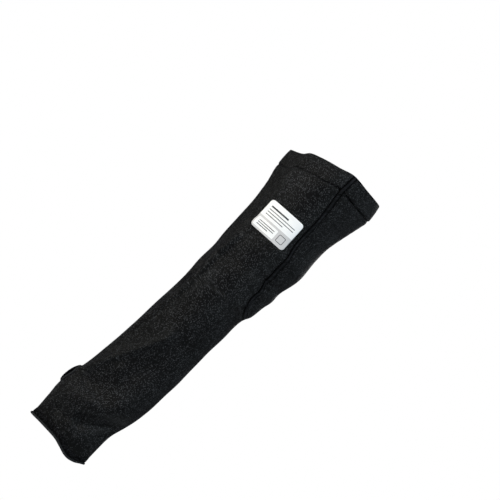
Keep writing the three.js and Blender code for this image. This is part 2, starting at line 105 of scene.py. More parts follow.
SECTIONS = (
    Section(0, 0.522, 0.508, 0.48, 0.48, 1.35),
    Section(0.026, 0.506, 0.488, 0.48, 0.48, 1.2),
    Section(0.066, 0.516, 0.467, 0.46, 0.49, 1.1),
    Section(0.11, 0.536, 0.46, 0.47, 0.5, 1.1),
    Section(0.153, 0.5, 0.495, 0.5, 0.49, 1.1),
    Section(0.197, 0.46, 0.528, 0.5, 0.48, 1.1),
    Section(0.241, 0.433, 0.533, 0.49, 0.48, 1.1),
    Section(0.328, 0.399, 0.515, 0.48, 0.48, 1.1),
    Section(0.438, 0.377, 0.472, 0.48, 0.48, 1.05),
    Section(0.503, 0.365, 0.457, 0.48, 0.49, 1.05),
    Section(0.565, 0.369, 0.45, 0.48, 0.5, 1.1),
    Section(0.591, 0.375, 0.487, 0.48, 0.51, 1.1),
    Section(0.63, 0.378, 0.497, 0.48, 0.52, 1.15),
    Section(0.656, 0.381, 0.514, 0.48, 0.52, 1.15),
    Section(0.687, 0.393, 0.5, 0.48, 0.52, 1.15),
    Section(0.755, 0.41, 0.528, 0.48, 0.51, 1.2),
    Section(0.814, 0.42, 0.485, 0.49, 0.5, 1.2),
    Section(0.858, 0.447, 0.477, 0.5, 0.5, 1.35),
    Section(0.919, 0.5, 0.504, 0.5, 0.5, 1.5),
    Section(0.985, 0.506, 0.539, 0.5, 0.5, 1.55),
)

SEAM_ROUTE = (
    SeamPlace(0, -2),
    SeamPlace(0.1, -6),
    SeamPlace(0.3, -14),
    SeamPlace(0.5, -13),
    SeamPlace(0.55, -7),
    SeamPlace(0.572, 8),
    SeamPlace(0.586, 31),
    SeamPlace(0.6, 43),
    SeamPlace(0.64, 50),
    SeamPlace(0.687, 54),
    SeamPlace(0.755, 62),
    SeamPlace(0.858, 64),
    SeamPlace(0.92, 69),
    SeamPlace(0.985, 77),
    SeamPlace(1.04, 80),
)

UPPER_EDGE = (
    EdgePlace(-1, -0.49, -0.49),
    EdgePlace(-0.9, -0.41, -0.45),
    EdgePlace(-0.75, -0.28, -0.39),
    EdgePlace(-0.66, -0.1, -0.34),
    EdgePlace(-0.5, 0.05, -0.24),
    EdgePlace(-0.3, 0.18, -0.1),
    EdgePlace(-0.1, 0.29, 0.05),
    EdgePlace(0.18, 0.47, 0.22),
    EdgePlace(0.6, 0.46, 0.4),
    EdgePlace(1, 0.47, 0.47),
)

HAND_EDGE = (
    EdgePlace(-1, 0.2, 0.2),
    EdgePlace(-0.7, 0.45, 0.6),
    EdgePlace(-0.1, 0.55, 0.5),
    EdgePlace(0.2, 0.1, 0.4),
    EdgePlace(0.45, -0.4, 0.4),
    EdgePlace(0.65, -0.48, 0.5),
    EdgePlace(0.85, -0.1, 0.6),
    EdgePlace(1, 0.7, 0.7),
)

# The large folds, as the solids have them
LARGE_FOLDS = (
    Fold(Face.FRONT, ((-0.66, 0.97), (-0.68, 0.86), (-0.76, 0.75), (-0.8, 0.62)), 0.045, 0.13),
    Fold(Face.FRONT, ((-0.8, 0.66), (-0.83, 0.5), (-0.86, 0.4), (-0.93, 0.3)), 0.04, 0.1),
    Fold(Face.FRONT, ((-0.9, 0.92), (-0.92, 0.8), (-0.95, 0.68)), -0.03, 0.1),
    Fold(Face.FRONT, ((-0.1, 0.4), (-0.3, 0.35), (-0.62, 0.28), (-0.8, 0.22), (-0.95, 0.18)),
         0.06, 0.16),
    Fold(Face.FRONT, ((0.35, 0.42), (0.1, 0.3), (-0.25, 0.23), (-0.6, 0.18)), -0.055, 0.26),
    Fold(Face.FRONT, ((-0.7, 0.11), (0, 0.15), (0.55, 0.2)), 0.06, 0.3),
    Fold(Face.FRONT, ((0.06, 0.095), (0.32, 0.115), (0.66, 0.138), (0.93, 0.152)), -0.085, 0.13),
    Fold(Face.FRONT, ((-0.62, 0.07), (-0.25, 0.075), (0.06, 0.09)), -0.04, 0.13),
    Fold(Face.FRONT, ((0.2, 0.085), (0.6, 0.1), (0.9, 0.12)), 0.03, 0.14),
    Fold(Face.FRONT, ((0.72, 0.6), (0.85, 0.585), (0.97, 0.575)), 0.045, 0.13),
    Fold(Face.FRONT, ((0.7, 0.57), (0.95, 0.555)), -0.035, 0.12),
    Fold(Face.FRONT, ((0.35, 0.682), (0.65, 0.68), (0.95, 0.69)), -0.05, 0.14),
    Fold(Face.FRONT, ((0.45, 0.8), (0.62, 0.86), (0.8, 0.9)), -0.05, 0.22),
    Fold(Face.FRONT, ((0.5, 0.76), (0.95, 0.755)), 0.035, 0.2),
    Fold(Face.FRONT, ((0.3, 0.48), (0.6, 0.46), (0.9, 0.5)), -0.035, 0.2),
    Fold(Face.BACK, ((0.9, 0.69), (0.4, 0.67), (-0.1, 0.685)), -0.06, 0.18),
    Fold(Face.BACK, ((0.95, 0.6), (0.45, 0.6), (0, 0.62)), -0.06, 0.17),
    Fold(Face.BACK, ((0.9, 0.645), (0.4, 0.635), (-0.2, 0.65)), 0.05, 0.2),
    Fold(Face.BACK, ((-0.9, 0.2), (-0.5, 0.26), (0, 0.36)), 0.05, 0.2),
    Fold(Face.BACK, ((-0.85, 0.13), (-0.3, 0.12), (0.4, 0.16), (0.9, 0.17)), -0.05, 0.18),
    Fold(Face.BACK, ((-0.6, 0.93), (-0.6, 0.8), (-0.7, 0.66)), 0.04, 0.2),
    Fold(Face.BACK, ((0.6, 0.95), (0.55, 0.85), (0.65, 0.76)), 0.04, 0.22),
)

# Finer creases that only the dressed sleeve has
FINE_FOLDS = (
    Fold(Face.FRONT, ((0.2, 0.086), (0.36, 0.093), (0.55, 0.104), (0.9, 0.129)), -0.17, 0.15),
    Fold(Face.FRONT, ((-0.5, 0.066), (-0.25, 0.068), (0.05, 0.078)), -0.04, 0.12),
    Fold(Face.FRONT, ((-0.6, 0.05), (0.1, 0.052), (0.5, 0.08), (0.9, 0.1)), -0.05, 0.24),
    Fold(Face.FRONT, ((-0.05, 0.4), (-0.35, 0.33), (-0.66, 0.26), (-0.85, 0.19)), 0.065, 0.08),
    Fold(Face.FRONT, ((0.55, 0.4), (0.3, 0.3), (0.05, 0.22), (-0.3, 0.165), (-0.8, 0.13)),
         -0.05, 0.38),
    Fold(Face.FRONT, ((-0.66, 0.71), (-0.72, 0.65), (-0.74, 0.55), (-0.77, 0.48), (-0.9, 0.35)),
         0.055, 0.055),
    Fold(Face.FRONT, ((-0.86, 0.6), (-0.87, 0.52), (-0.89, 0.45)), -0.03, 0.06),
    Fold(Face.FRONT, ((-0.75, 0.235), (-0.3, 0.25)), 0.05, 0.25),
    Fold(Face.FRONT, ((-0.8, 0.165), (-0.4, 0.17), (0.1, 0.17)), -0.08, 0.22),
    Fold(Face.FRONT, ((-0.95, 0), (0, 0), (0.95, 0)), -0.1, 0.38),
    Fold(Face.FRONT, ((-0.62, 0.77), (-0.64, 0.72), (-0.7, 0.66)), 0.05, 0.1),
    Fold(Face.FRONT, ((0.55, 0.684), (0.75, 0.681), (0.95, 0.688)), -0.025, 0.06),
    Fold(Face.FRONT, ((0.72, 0.64), (0.82, 0.605), (0.92, 0.58)), -0.05, 0.09),
    Fold(Face.FRONT, ((0.6, 0.825), (0.75, 0.845), (0.92, 0.85)), -0.03, 0.09),
    Fold(Face.BACK, ((0.75, 0.672), (0.35, 0.662), (0, 0.672)), -0.035, 0.07),
    Fold(Face.BACK, ((0.8, 0.612), (0.4, 0.606), (0.05, 0.618)), -0.035, 0.07),
)


def read_table(rows: Sequence[NamedTuple], place: str, at: np.ndarray, column: str) -> np.ndarray:
    """Reads a smooth curve through one column of a table.

    Args:
        rows: The table's rows, in rising order of their place.
        place: The name of the column that the rows are placed by.
        at: The places to read at.
        column: The name of the column to read.

    Returns:
        The curve's values, of the same shape as the places.
    """
    places = np.array([getattr(row, place) for row in rows], float)
    values = np.array([getattr(row, column) for row in rows], float)
    last = len(rows) - 1
    before = np.maximum(np.arange(last + 1) - 1, 0)
    after = np.minimum(np.arange(last + 1) + 1, last)
    slopes = (values[after] - values[before]) / (places[after] - places[before])
    inside = np.clip(at, places[0], places[-1])
    upper = np.clip(np.searchsorted(places, inside, side="left"), 1, last)
    lower = upper - 1
    span = places[upper] - places[lower]
    t = (inside - places[lower]) / span
    rise = t * t * (3 - 2 * t)
    leave = slopes[lower] * span * t * (1 - t) ** 2
    arrive = slopes[upper] * span * t * t * (t - 1)
    return values[lower] + (values[upper] - values[lower]) * rise + leave + arrive


class Level(NamedTuple):
    """The section of the worn form at given heights, in millimetres."""

    centre: np.ndarray
    half_width: np.ndarray
    front: np.ndarray
    back: np.ndarray
    pinch: np.ndarray


PlaneMap = Callable[[np.ndarray], tuple[np.ndarray, np.ndarray]]


@dataclass(frozen=True)
class SleeveForm:
    """The worn form of the sleeve: its sections, folds, edges and the seam's route.

    Angles go round the sleeve in radians: 0 is the right edge and a quarter turn is the
    middle of the shown side. Heights are millimetres from the hand edge.
    """

    sleeve_length: float = 457
    hand_width: float = 86
    hand_depth: float = 46
    upper_width: float = 122
    upper_depth: float = 96
    knit_wall: float = 1.6
    piece_gap: float = 0.3
    hem_depth: float = 23
    hem_gap: float = 0.05
    hem_puff: float = 0.6
    hem_lean_left: float = 2
    hem_lean_right: float = 4.6
    upper_edge_slant: float = 32
    hand_band_height: float = 9
    hand_edge_bow: float = 6
    thumb_height: float = 69
    thumb_forward: float = 2.5
    thumb_length: float = 24
    thumb_width: float = 11
    thumb_rim: float = 3
    thumb_lip_height: float = 5.8
    thumb_lip_reach: float = 16
    fold_fade_power: float = 12
    ripple_height: float = 0.06
    ripple_count: int = 26
    ripple_seed: int = 7
    ripple_pitch: tuple[float, float] = (22, 50)
    ripple_upright: float = 0.6
    ripple_clear_low: float = 10
    ripple_clear_high: float = 30
    ripple_fade: float = 20
    loose_across: float = -0.5
    loose_reach: float = 0.55
    loose_sharpness: int = 6
    loose_share: float = 0.95
    loose_turn: float = 4
    loose_lead: float = 0.5

    def level(self, height: np.ndarray) -> Level:
        """Gives the section of the form.

        Args:
            height: Heights from the hand edge.

        Returns:
            The section at each height.
        """
        along = height / self.sleeve_length
        width = self.hand_width + (self.upper_width - self.hand_width) * along
        depth = self.hand_depth + (self.upper_depth - self.hand_depth) * along
        left = read_table(SECTIONS, "along", along, "left") * width
        right = read_table(SECTIONS, "along", along, "right") * width
        return Level(
            (right - left) / 2,
            (right + left) / 2,
            read_table(SECTIONS, "along", along, "front") * depth,
            read_table(SECTIONS, "along", along, "back") * depth,
            read_table(SECTIONS, "along", along, "pinch"),
        )

    def form_point(self, angle: np.ndarray, level: Level) -> tuple[np.ndarray, np.ndarray]:
        """Gives points of the section before the folds.

        Args:
            angle: Angles round the sleeve.
            level: The section at each of them.

        Returns:
            The x and y of each point.
        """
        sine = np.sin(angle)
        deep = np.abs(sine) ** level.pinch
        x = level.centre + level.half_width * np.cos(angle)
        return x, np.where(sine >= 0, -level.front * deep, level.back * deep)

    @staticmethod
    def outward(point_at: PlaneMap, angle: np.ndarray) -> tuple[np.ndarray, np.ndarray]:
        """Gives the level outward direction of a closed curve.

        Args:
            point_at: The curve, from angles to x and y.
            angle: Angles to give the direction at.

        Returns:
            The x and y of each direction, of length one.
        """
        step = 0.02
        before = point_at(angle - step)
        after = point_at(angle + step)
        out_x = before[1] - after[1]
        out_y = after[0] - before[0]
        size = np.hypot(out_x, out_y)
        return out_x / size, out_y / size

    def path_distance(self, angle: np.ndarray, height: np.ndarray, half_width: np.ndarray,
                      path: Sequence[tuple[float, float]]) -> np.ndarray:
        """Measures how far places on the sleeve lie from a fold's path, all laid flat.

        Args:
            angle: Angles of the places.
            height: Heights of the places.
            half_width: Half of the sleeve's width at each of them.
            path: The path's corners, in shares of half width and length.

        Returns:
            The distance of each place from the nearest part of the path.
        """
        x = np.cos(angle) * half_width
        nearest = np.full(np.shape(x), np.inf)
        for (across_a, along_a), (across_b, along_b) in zip(path, path[1:]):
            start_x, start_z = across_a * half_width, along_a * self.sleeve_length
            run_x = across_b * half_width - start_x
            run_z = along_b * self.sleeve_length - start_z
            dot = (x - start_x) * run_x + (height - start_z) * run_z
            share = np.clip(dot / (run_x ** 2 + run_z ** 2), 0, 1)
            gap = np.hypot(x - start_x - share * run_x, height - start_z - share * run_z)
            nearest = np.minimum(nearest, gap)
        return nearest

    def fold_lift(self, angle: np.ndarray, height: np.ndarray, level: Level) -> np.ndarray:
        """Gives how far the folds lift the knit off the section.

        Args:
            angle: Angles round the sleeve.
            height: Heights from the hand edge.
            level: The section at each of them.

        Returns:
            The lift at each place.
        """
        on_front = np.sin(angle) >= 0
        lift = np.zeros(np.shape(angle))
        for fold in LARGE_FOLDS + FINE_FOLDS:
            away = self.path_distance(angle, height, level.half_width, fold.path)
            share = away / (fold.reach * self.hand_depth)
            shown = on_front if fold.face is Face.FRONT else ~on_front
            lift = lift + np.where(shown, fold.lift * self.hand_depth * np.exp(-share * share), 0)
        return lift * (1 - np.abs(np.cos(angle)) ** self.fold_fade_power)

    def ripple(self, x: np.ndarray, y: np.ndarray, height: np.ndarray) -> np.ndarray:
        """Gives the small unevenness of the knit, which dies out at both ends.

        Args:
            x: Places on the form, across.
            y: Places on the form, front to back.
            height: Heights from the hand edge.

        Returns:
            The lift at each place.
        """
        draw = np.random.default_rng(self.ripple_seed)
        total = np.zeros(np.shape(x))
        for _ in range(self.ripple_count):
            pitch = draw.uniform(*self.ripple_pitch)
            heading = draw.normal(size=3) * np.array([1, 1, self.ripple_upright])
            heading = heading / np.linalg.norm(heading) * TURN / pitch
            phase = draw.uniform(0, TURN)
            total = total + np.sin(x * heading[0] + y * heading[1] + height * heading[2] + phase)
        top = self.sleeve_length - self.ripple_clear_high
        fade_low = np.clip((height - self.ripple_clear_low) / self.ripple_fade, 0, 1)
        fade_high = np.clip((top - height) / self.ripple_fade, 0, 1)
        return self.ripple_height * total * fade_low * fade_high

    def thumb_lift(self, angle: np.ndarray, height: np.ndarray, level: Level) -> np.ndarray:
        """Gives the lip at the thumb hole.

        Args:
            angle: Angles round the sleeve.
            height: Heights from the hand edge.
            level: The section at each of them.

        Returns:
            The lift at each place.
        """
        along = (height - self.thumb_height) / self.thumb_lip_reach
        y = self.form_point(angle, level)[1]
        away = (y + self.thumb_forward) / (self.thumb_width + self.thumb_rim)
        arch = np.maximum(0, 1 - along * along) * np.exp(-away * away)
        return np.where(np.cos(angle) > 0, 0, self.thumb_lip_height * arch)

    def knit_point(self, angle: np.ndarray, height: np.ndarray) -> tuple[np.ndarray, np.ndarray]:
        """Gives points of the knit's outer face.

        Args:
            angle: Angles round the sleeve.
            height: Heights from the hand edge.

        Returns:
            The x and y of each point.
        """
        level = self.level(height)
        x, y = self.form_point(angle, level)
        out_x, out_y = self.outward(lambda other: self.form_point(other, level), angle)
        lift = self.fold_lift(angle, height, level) + self.thumb_lift(angle, height, level)
        lift = lift + self.ripple(x, y, height)
        return x + out_x * lift, y + out_y * lift

    def under(self, angle: np.ndarray, height: np.ndarray, depth: np.ndarray | float) -> np.ndarray:
        """Gives points at a depth under the knit's outer face, level with it.

        Args:
            angle: Angles round the sleeve.
            height: Heights from the hand edge.
            depth: How deep each point lies, or one depth for all.

        Returns:
            The points, with x, y and height on a last axis.
        """
        x, y = self.knit_point(angle, height)
        out_x, out_y = self.outward(lambda other: self.knit_point(other, height), angle)
        return np.stack([x - out_x * depth, y - out_y * depth, height + 0 * x], axis=-1)

    @staticmethod
    def edge_rise(table: Sequence[EdgePlace], angle: np.ndarray) -> np.ndarray:
        """Reads an open edge's rise at angles round the sleeve.

        Args:
            table: The edge's table.
            angle: Angles round the sleeve.

        Returns:
            The rise at each angle, as a share of the edge's slant.
        """
        across = np.cos(angle)
        front = read_table(table, "across", across, Face.FRONT.value)
        back = read_table(table, "across", across, Face.BACK.value)
        return np.where(np.sin(angle) >= 0, front, back)

    def upper_edge(self, angle: np.ndarray) -> np.ndarray:
        """Gives the height of the upper edge."""
        return self.sleeve_length + self.upper_edge_slant * self.edge_rise(UPPER_EDGE, angle)

    def stitch_line(self, angle: np.ndarray) -> np.ndarray:
        """Gives the height of the stitch line under the hem."""
        return self.upper_edge(angle) - self.hem_depth

    def hand_edge(self, angle: np.ndarray) -> np.ndarray:
        """Gives the height of the hand edge."""
        return self.hand_edge_bow * self.edge_rise(HAND_EDGE, angle)

    def stitch_pull(self, angle: np.ndarray) -> np.ndarray:
        """Gives how strongly the hem's stitches draw the knit in.

        Args:
            angle: Angles round the sleeve.

        Returns:
            The pull at each angle: 1 but for the shown side's left, where the stitches are loose.
        """
        aside = (np.cos(angle) - self.loose_across) / self.loose_reach
        shown = np.clip(self.loose_turn * np.sin(angle) + self.loose_lead, 0, 1)
        loose = np.exp(-aside ** self.loose_sharpness) * shown
        return 1 - self.loose_share * loose

    def tube_low(self, angle: np.ndarray) -> np.ndarray:
        """Gives the height at which the tube ends over the hand binding."""
        return self.hand_edge(angle) + self.hand_band_height + self.piece_gap

    def tube_high(self, angle: np.ndarray) -> np.ndarray:
        """Gives the height at which the tube ends under the hem."""
        return self.stitch_line(angle) - self.hem_gap

    def hem_point(self, angle: np.ndarray, up: float, depth: float | np.ndarray) -> np.ndarray:
        """Gives points of the hem, which stands on the knit, leans in and is a little full.

        Args:
            angle: Angles of the hem's columns at the stitch line.
            up: Share of the hem's height.
            depth: How deep the points lie under the hem's face.

        Returns:
            The points, with x, y and height on a last axis.
        """
        stitch = self.stitch_line(angle)
        x, y = self.knit_point(angle, stitch)
        out_x, out_y = self.outward(lambda other: self.knit_point(other, stitch), angle)
        across = np.cos(angle)
        lean = np.where(across > 0, -self.hem_lean_right, -self.hem_lean_left) * across ** 2 * up
        lift = self.hem_puff * math.sin(math.pi * min(up, 1)) - depth
        height = stitch + self.hem_depth * up
        return np.stack([x + lean + out_x * lift, y + out_y * lift, height], axis=-1)

    def seam_angle(self, height: np.ndarray) -> np.ndarray:
        """Gives the seam's angle round the sleeve at heights."""
        return np.radians(read_table(SEAM_ROUTE, "along", height / self.sleeve_length, "angle"))

    def seam_reach(self, height: np.ndarray, width: float) -> np.ndarray:
        """Gives the angle that a width beside the seam takes up.

        Args:
            height: Heights from the hand edge.
            width: The width, measured square to the seam.

        Returns:
            The angle at each height: larger where the seam crosses the sleeve aslant.
        """
        level = self.level(height)
        turn = 0.002
        angle = self.seam_angle(height)
        ahead = self.form_point(angle + turn, level)
        behind = self.form_point(angle - turn, level)
        radius = np.hypot(ahead[0] - behind[0], ahead[1] - behind[1]) / (2 * turn)
        slant = (self.seam_angle(height + 1) - self.seam_angle(height - 1)) * radius / 2
        return width * np.sqrt(1 + slant * slant) / radius

    def left_side_angle(self, forward: np.ndarray, height: np.ndarray) -> np.ndarray:
        """Finds the angle at which the left side stands at a distance to the front.

        Args:
            forward: Distances towards the shown side.
            height: Heights from the hand edge.

        Returns:
            The angle of each place.
        """
        halvings = 36
        low = np.full(np.shape(forward), math.pi / 2)
        high = np.full(np.shape(forward), 3 * math.pi / 2)
        for _ in range(halvings):
            middle = (low + high) / 2
            in_front = self.knit_point(middle, height)[1] < -forward
            low = np.where(in_front, middle, low)
            high = np.where(in_front, high, middle)
        return (low + high) / 2

    def go_round(self, start: np.ndarray, distance: np.ndarray, height: np.ndarray) -> np.ndarray:
        """Goes a distance round the knit from a starting angle.

        Args:
            start: The starting angle of each walk.
            distance: Distances to go, which may be negative.
            height: The height that each walk keeps to.

        Returns:
            The angle that each walk ends at.
        """
        steps = 24
        probe = 0.01
        angle = start
        for _ in range(steps):
            here = self.knit_point(angle, height)
            there = self.knit_point(angle + probe, height)
            pace = np.hypot(there[0] - here[0], there[1] - here[1]) / probe
            angle = angle + distance / steps / pace
        return angle


FORM = SleeveForm()
EdgeMap = Callable[[np.ndarray], np.ndarray]


@dataclass(frozen=True)
class Courses:
    """Lays the knit's rows of loops round the sleeve, from one side of the seam to the other.

    Beside the seam the columns keep set distances from it, down its channel's bank, and
    between them they are evenly spaced.
    """

    form: SleeveForm
    columns: int = 150
    samples: int = 300
    settle_rounds: int = 14
    seam_side: tuple[tuple[float, float], ...] = (
        (0, 1.25), (2.6, 1.3), (3.05, 1.15), (3.5, 0.55), (4.1, 0.15), (5.2, 0),
    )

    def beside(self, share: np.ndarray, offset: float, low: EdgeMap, high: EdgeMap) -> np.ndarray:
        """Finds the angles of a column that keeps beside the seam.

        Args:
            share: Share of the way from the low edge to the high one, for each row.
            offset: The column's distance from the seam's middle, with its sign.
            low: The low edge, from angles to heights.
            high: The high edge, from angles to heights.

        Returns:
            The column's angle in each row.
        """
        height = np.full(np.shape(share), self.form.sleeve_length / 2)
        for _ in range(self.settle_rounds):
            angle = self.form.seam_angle(height) + self.form.seam_reach(height, offset)
            height = low(angle) + share * (high(angle) - low(angle))
        return angle

    def lay(self, share: np.ndarray, low: EdgeMap, high: EdgeMap) -> tuple[np.ndarray, np.ndarray]:
        """Lays rows between two edges.

        Args:
            share: Share of the way from the low edge to the high one, for each row.
            low: The low edge, from angles to heights.
            high: The high edge, from angles to heights.

        Returns:
            The angle and the height of each column in each row.
        """
        right = [self.beside(share, offset, low, high) for offset, _ in self.seam_side]
        left = [self.beside(share, -offset, low, high) + TURN for offset, _ in self.seam_side[::-1]]
        first, last = right[-1][:, None], left[0][:, None]
        sample = first + (last - first) * np.linspace(0, 1, self.samples)[None, :]
        height = low(sample) + share[:, None] * (high(sample) - low(sample))
        x, y = self.form.knit_point(sample, height)
        stride = np.sqrt(np.diff(x) ** 2 + np.diff(y) ** 2 + np.diff(height) ** 2)
        arc = np.concatenate([np.zeros((len(share), 1)), np.cumsum(stride, axis=1)], axis=1)
        want = np.linspace(0, 1, self.columns)[1:-1]
        middle = [np.interp(want * run[-1], run, row) for run, row in zip(arc, sample)]
        sides_right, sides_left = np.stack(right, axis=1), np.stack(left, axis=1)
        angle = np.concatenate([sides_right, np.array(middle), sides_left], axis=1)
        return angle, low(angle) + share[:, None] * (high(angle) - low(angle))

    def edge_angles(self, edge: EdgeMap) -> np.ndarray:
        """Gives the angle at which each column meets an edge."""
        return self.lay(np.array([1.0]), edge, edge)[0][0]

    def sink(self) -> np.ndarray:
        """Gives how deep each column lies in the seam's channel."""
        side = [depth for _, depth in self.seam_side]
        return np.array(side + [0.0] * (self.columns - 2) + side[::-1])


def run_along(line: np.ndarray) -> np.ndarray:
    """Gives each point's distance along a line from its first point."""
    stride = np.linalg.norm(np.diff(line, axis=0), axis=1)
    return np.concatenate([[0], np.cumsum(stride)])


class Joined(Enum):
    """Which borders of a patch are closed on themselves."""

    NONE = "none"
    ROUND = "round"
    BOTH = "both"


@dataclass
class Patch:
    """A piece of cloth laid out as rows and columns of points, with its flat measures."""

    name: str
    points: np.ndarray
    flat: np.ndarray
    joined: Joined = Joined.NONE

    @staticmethod
    def measure(points: np.ndarray) -> np.ndarray:
        """Lays a grid of points flat, from its middle column.

        Args:
            points: The grid's points in millimetres.

        Returns:
            For each point its distance round from the middle column and its height.
        """
        stride = np.linalg.norm(np.diff(points, axis=1), axis=2)
        run = np.concatenate([np.zeros((len(points), 1)), np.cumsum(stride, axis=1)], axis=1)
        run = run - run[:, points.shape[1] // 2][:, None]
        return np.stack([run, points[:, :, 2]], axis=-1)

    @classmethod
    def measure_upright(cls, points: np.ndarray) -> np.ndarray:
        """Lays a grid flat as measure does, with every column upright over its first point."""
        flat = cls.measure(points)
        flat[:, :, 0] = flat[0, :, 0][None, :]
        return flat

    def mesh(self) -> bmesh.types.BMesh:
        """Makes the cloth from a flat grid whose corners move to the points.

        Returns:
            The mesh, in metres in the row's frame, with the UV map "cloth" in metres.
        """
        rows, columns = self.points.shape[:2]
        bm = bmesh.new()
        bmesh.ops.create_grid(bm, x_segments=columns - 1, y_segments=rows - 1, size=1)
        uv = bm.loops.layers.uv.new("cloth")
        place = self.points.copy()
        place[:, :, 2] -= FORM.sleeve_length
        place = place * MM
        for vert in bm.verts:
            row = round((vert.co.y + 1) / 2 * (rows - 1))
            column = round((vert.co.x + 1) / 2 * (columns - 1))
            vert.index = row * columns + column
            vert.co = place[row, column]
        flat = self.flat.reshape(-1, 2) * MM
        for face in bm.faces:
            face.smooth = True
            for loop in face.loops:
                loop[uv].uv = flat[loop.vert.index]
        if self.joined is not Joined.NONE:
            bmesh.ops.remove_doubles(bm, verts=bm.verts, dist=WELD)
        self.face_outwards(bm)
        return bm

    @staticmethod
    def face_outwards(bm: bmesh.types.BMesh) -> None:
        """Turns the faces so that most of them point away from the sleeve's axis.

        Args:
            bm: The mesh to turn.
        """
        bmesh.ops.recalc_face_normals(bm, faces=bm.faces)
        closed = all(edge.is_manifold for edge in bm.edges)
        if closed:
            if bm.calc_volume(signed=True) < 0:
                bmesh.ops.reverse_faces(bm, faces=bm.faces)
            return
        outward = 0.0
        for face in bm.faces:
            middle = face.calc_center_median()
            outward += face.normal.x * middle.x + face.normal.y * middle.y
        if outward < 0:
            bmesh.ops.reverse_faces(bm, faces=bm.faces)


def finish_mesh(name: str, bm: bmesh.types.BMesh) -> bpy.types.Object:
    """Makes an object of a mesh and links it to the scene.

    Args:
        name: The piece's name.
        bm: The mesh, which is freed.

    Returns:
        The object, at the origin.
    """
    mesh = bpy.data.meshes.new(name)
    bm.to_mesh(mesh)
    bm.free()
    piece = bpy.data.objects.new(name, mesh)
    bpy.context.scene.collection.objects.link(piece)
    return piece


def thicken(piece: bpy.types.Object, wall: float) -> None:
    """Gives a cloth piece its wall, which lies inside its face.

    Args:
        piece: The piece.
        wall: The wall in millimetres.
    """
    solidify = piece.modifiers.new("wall", "SOLIDIFY")
    solidify.thickness = wall * MM
    solidify.offset = -1
    solidify.use_even_offset = False


def clad(name: str, bm: bmesh.types.BMesh, finish: bpy.types.Material,
         wall: float = 0) -> bpy.types.Object:
    """Makes a piece in its finish.

    Args:
        name: The piece's name.
        bm: The mesh, which is freed.
        finish: The piece's material.
        wall: The wall in millimetres that one layer of cloth is given.

    Returns:
        The piece, at the origin.
    """
    piece = finish_mesh(name, bm)
    if wall:
        thicken(piece, wall)
    piece.data.materials.append(finish)
    return piece


def seat(piece: bpy.types.Object, slot: str, *nodes: str) -> bpy.types.Object:
    """Puts a piece on the sleeve's one body, in place of its solids.

    Args:
        piece: The piece.
        slot: The record's material slot.
        nodes: The solids that it stands for.

    Returns:
        The piece.
    """
    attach(piece, "root")
    if nodes:
        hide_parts(*nodes)
    LOG.info("%s: %d vertices, slot %s", piece.name, len(piece.data.vertices), slot)
    return piece


Input = bpy.types.NodeSocket | float


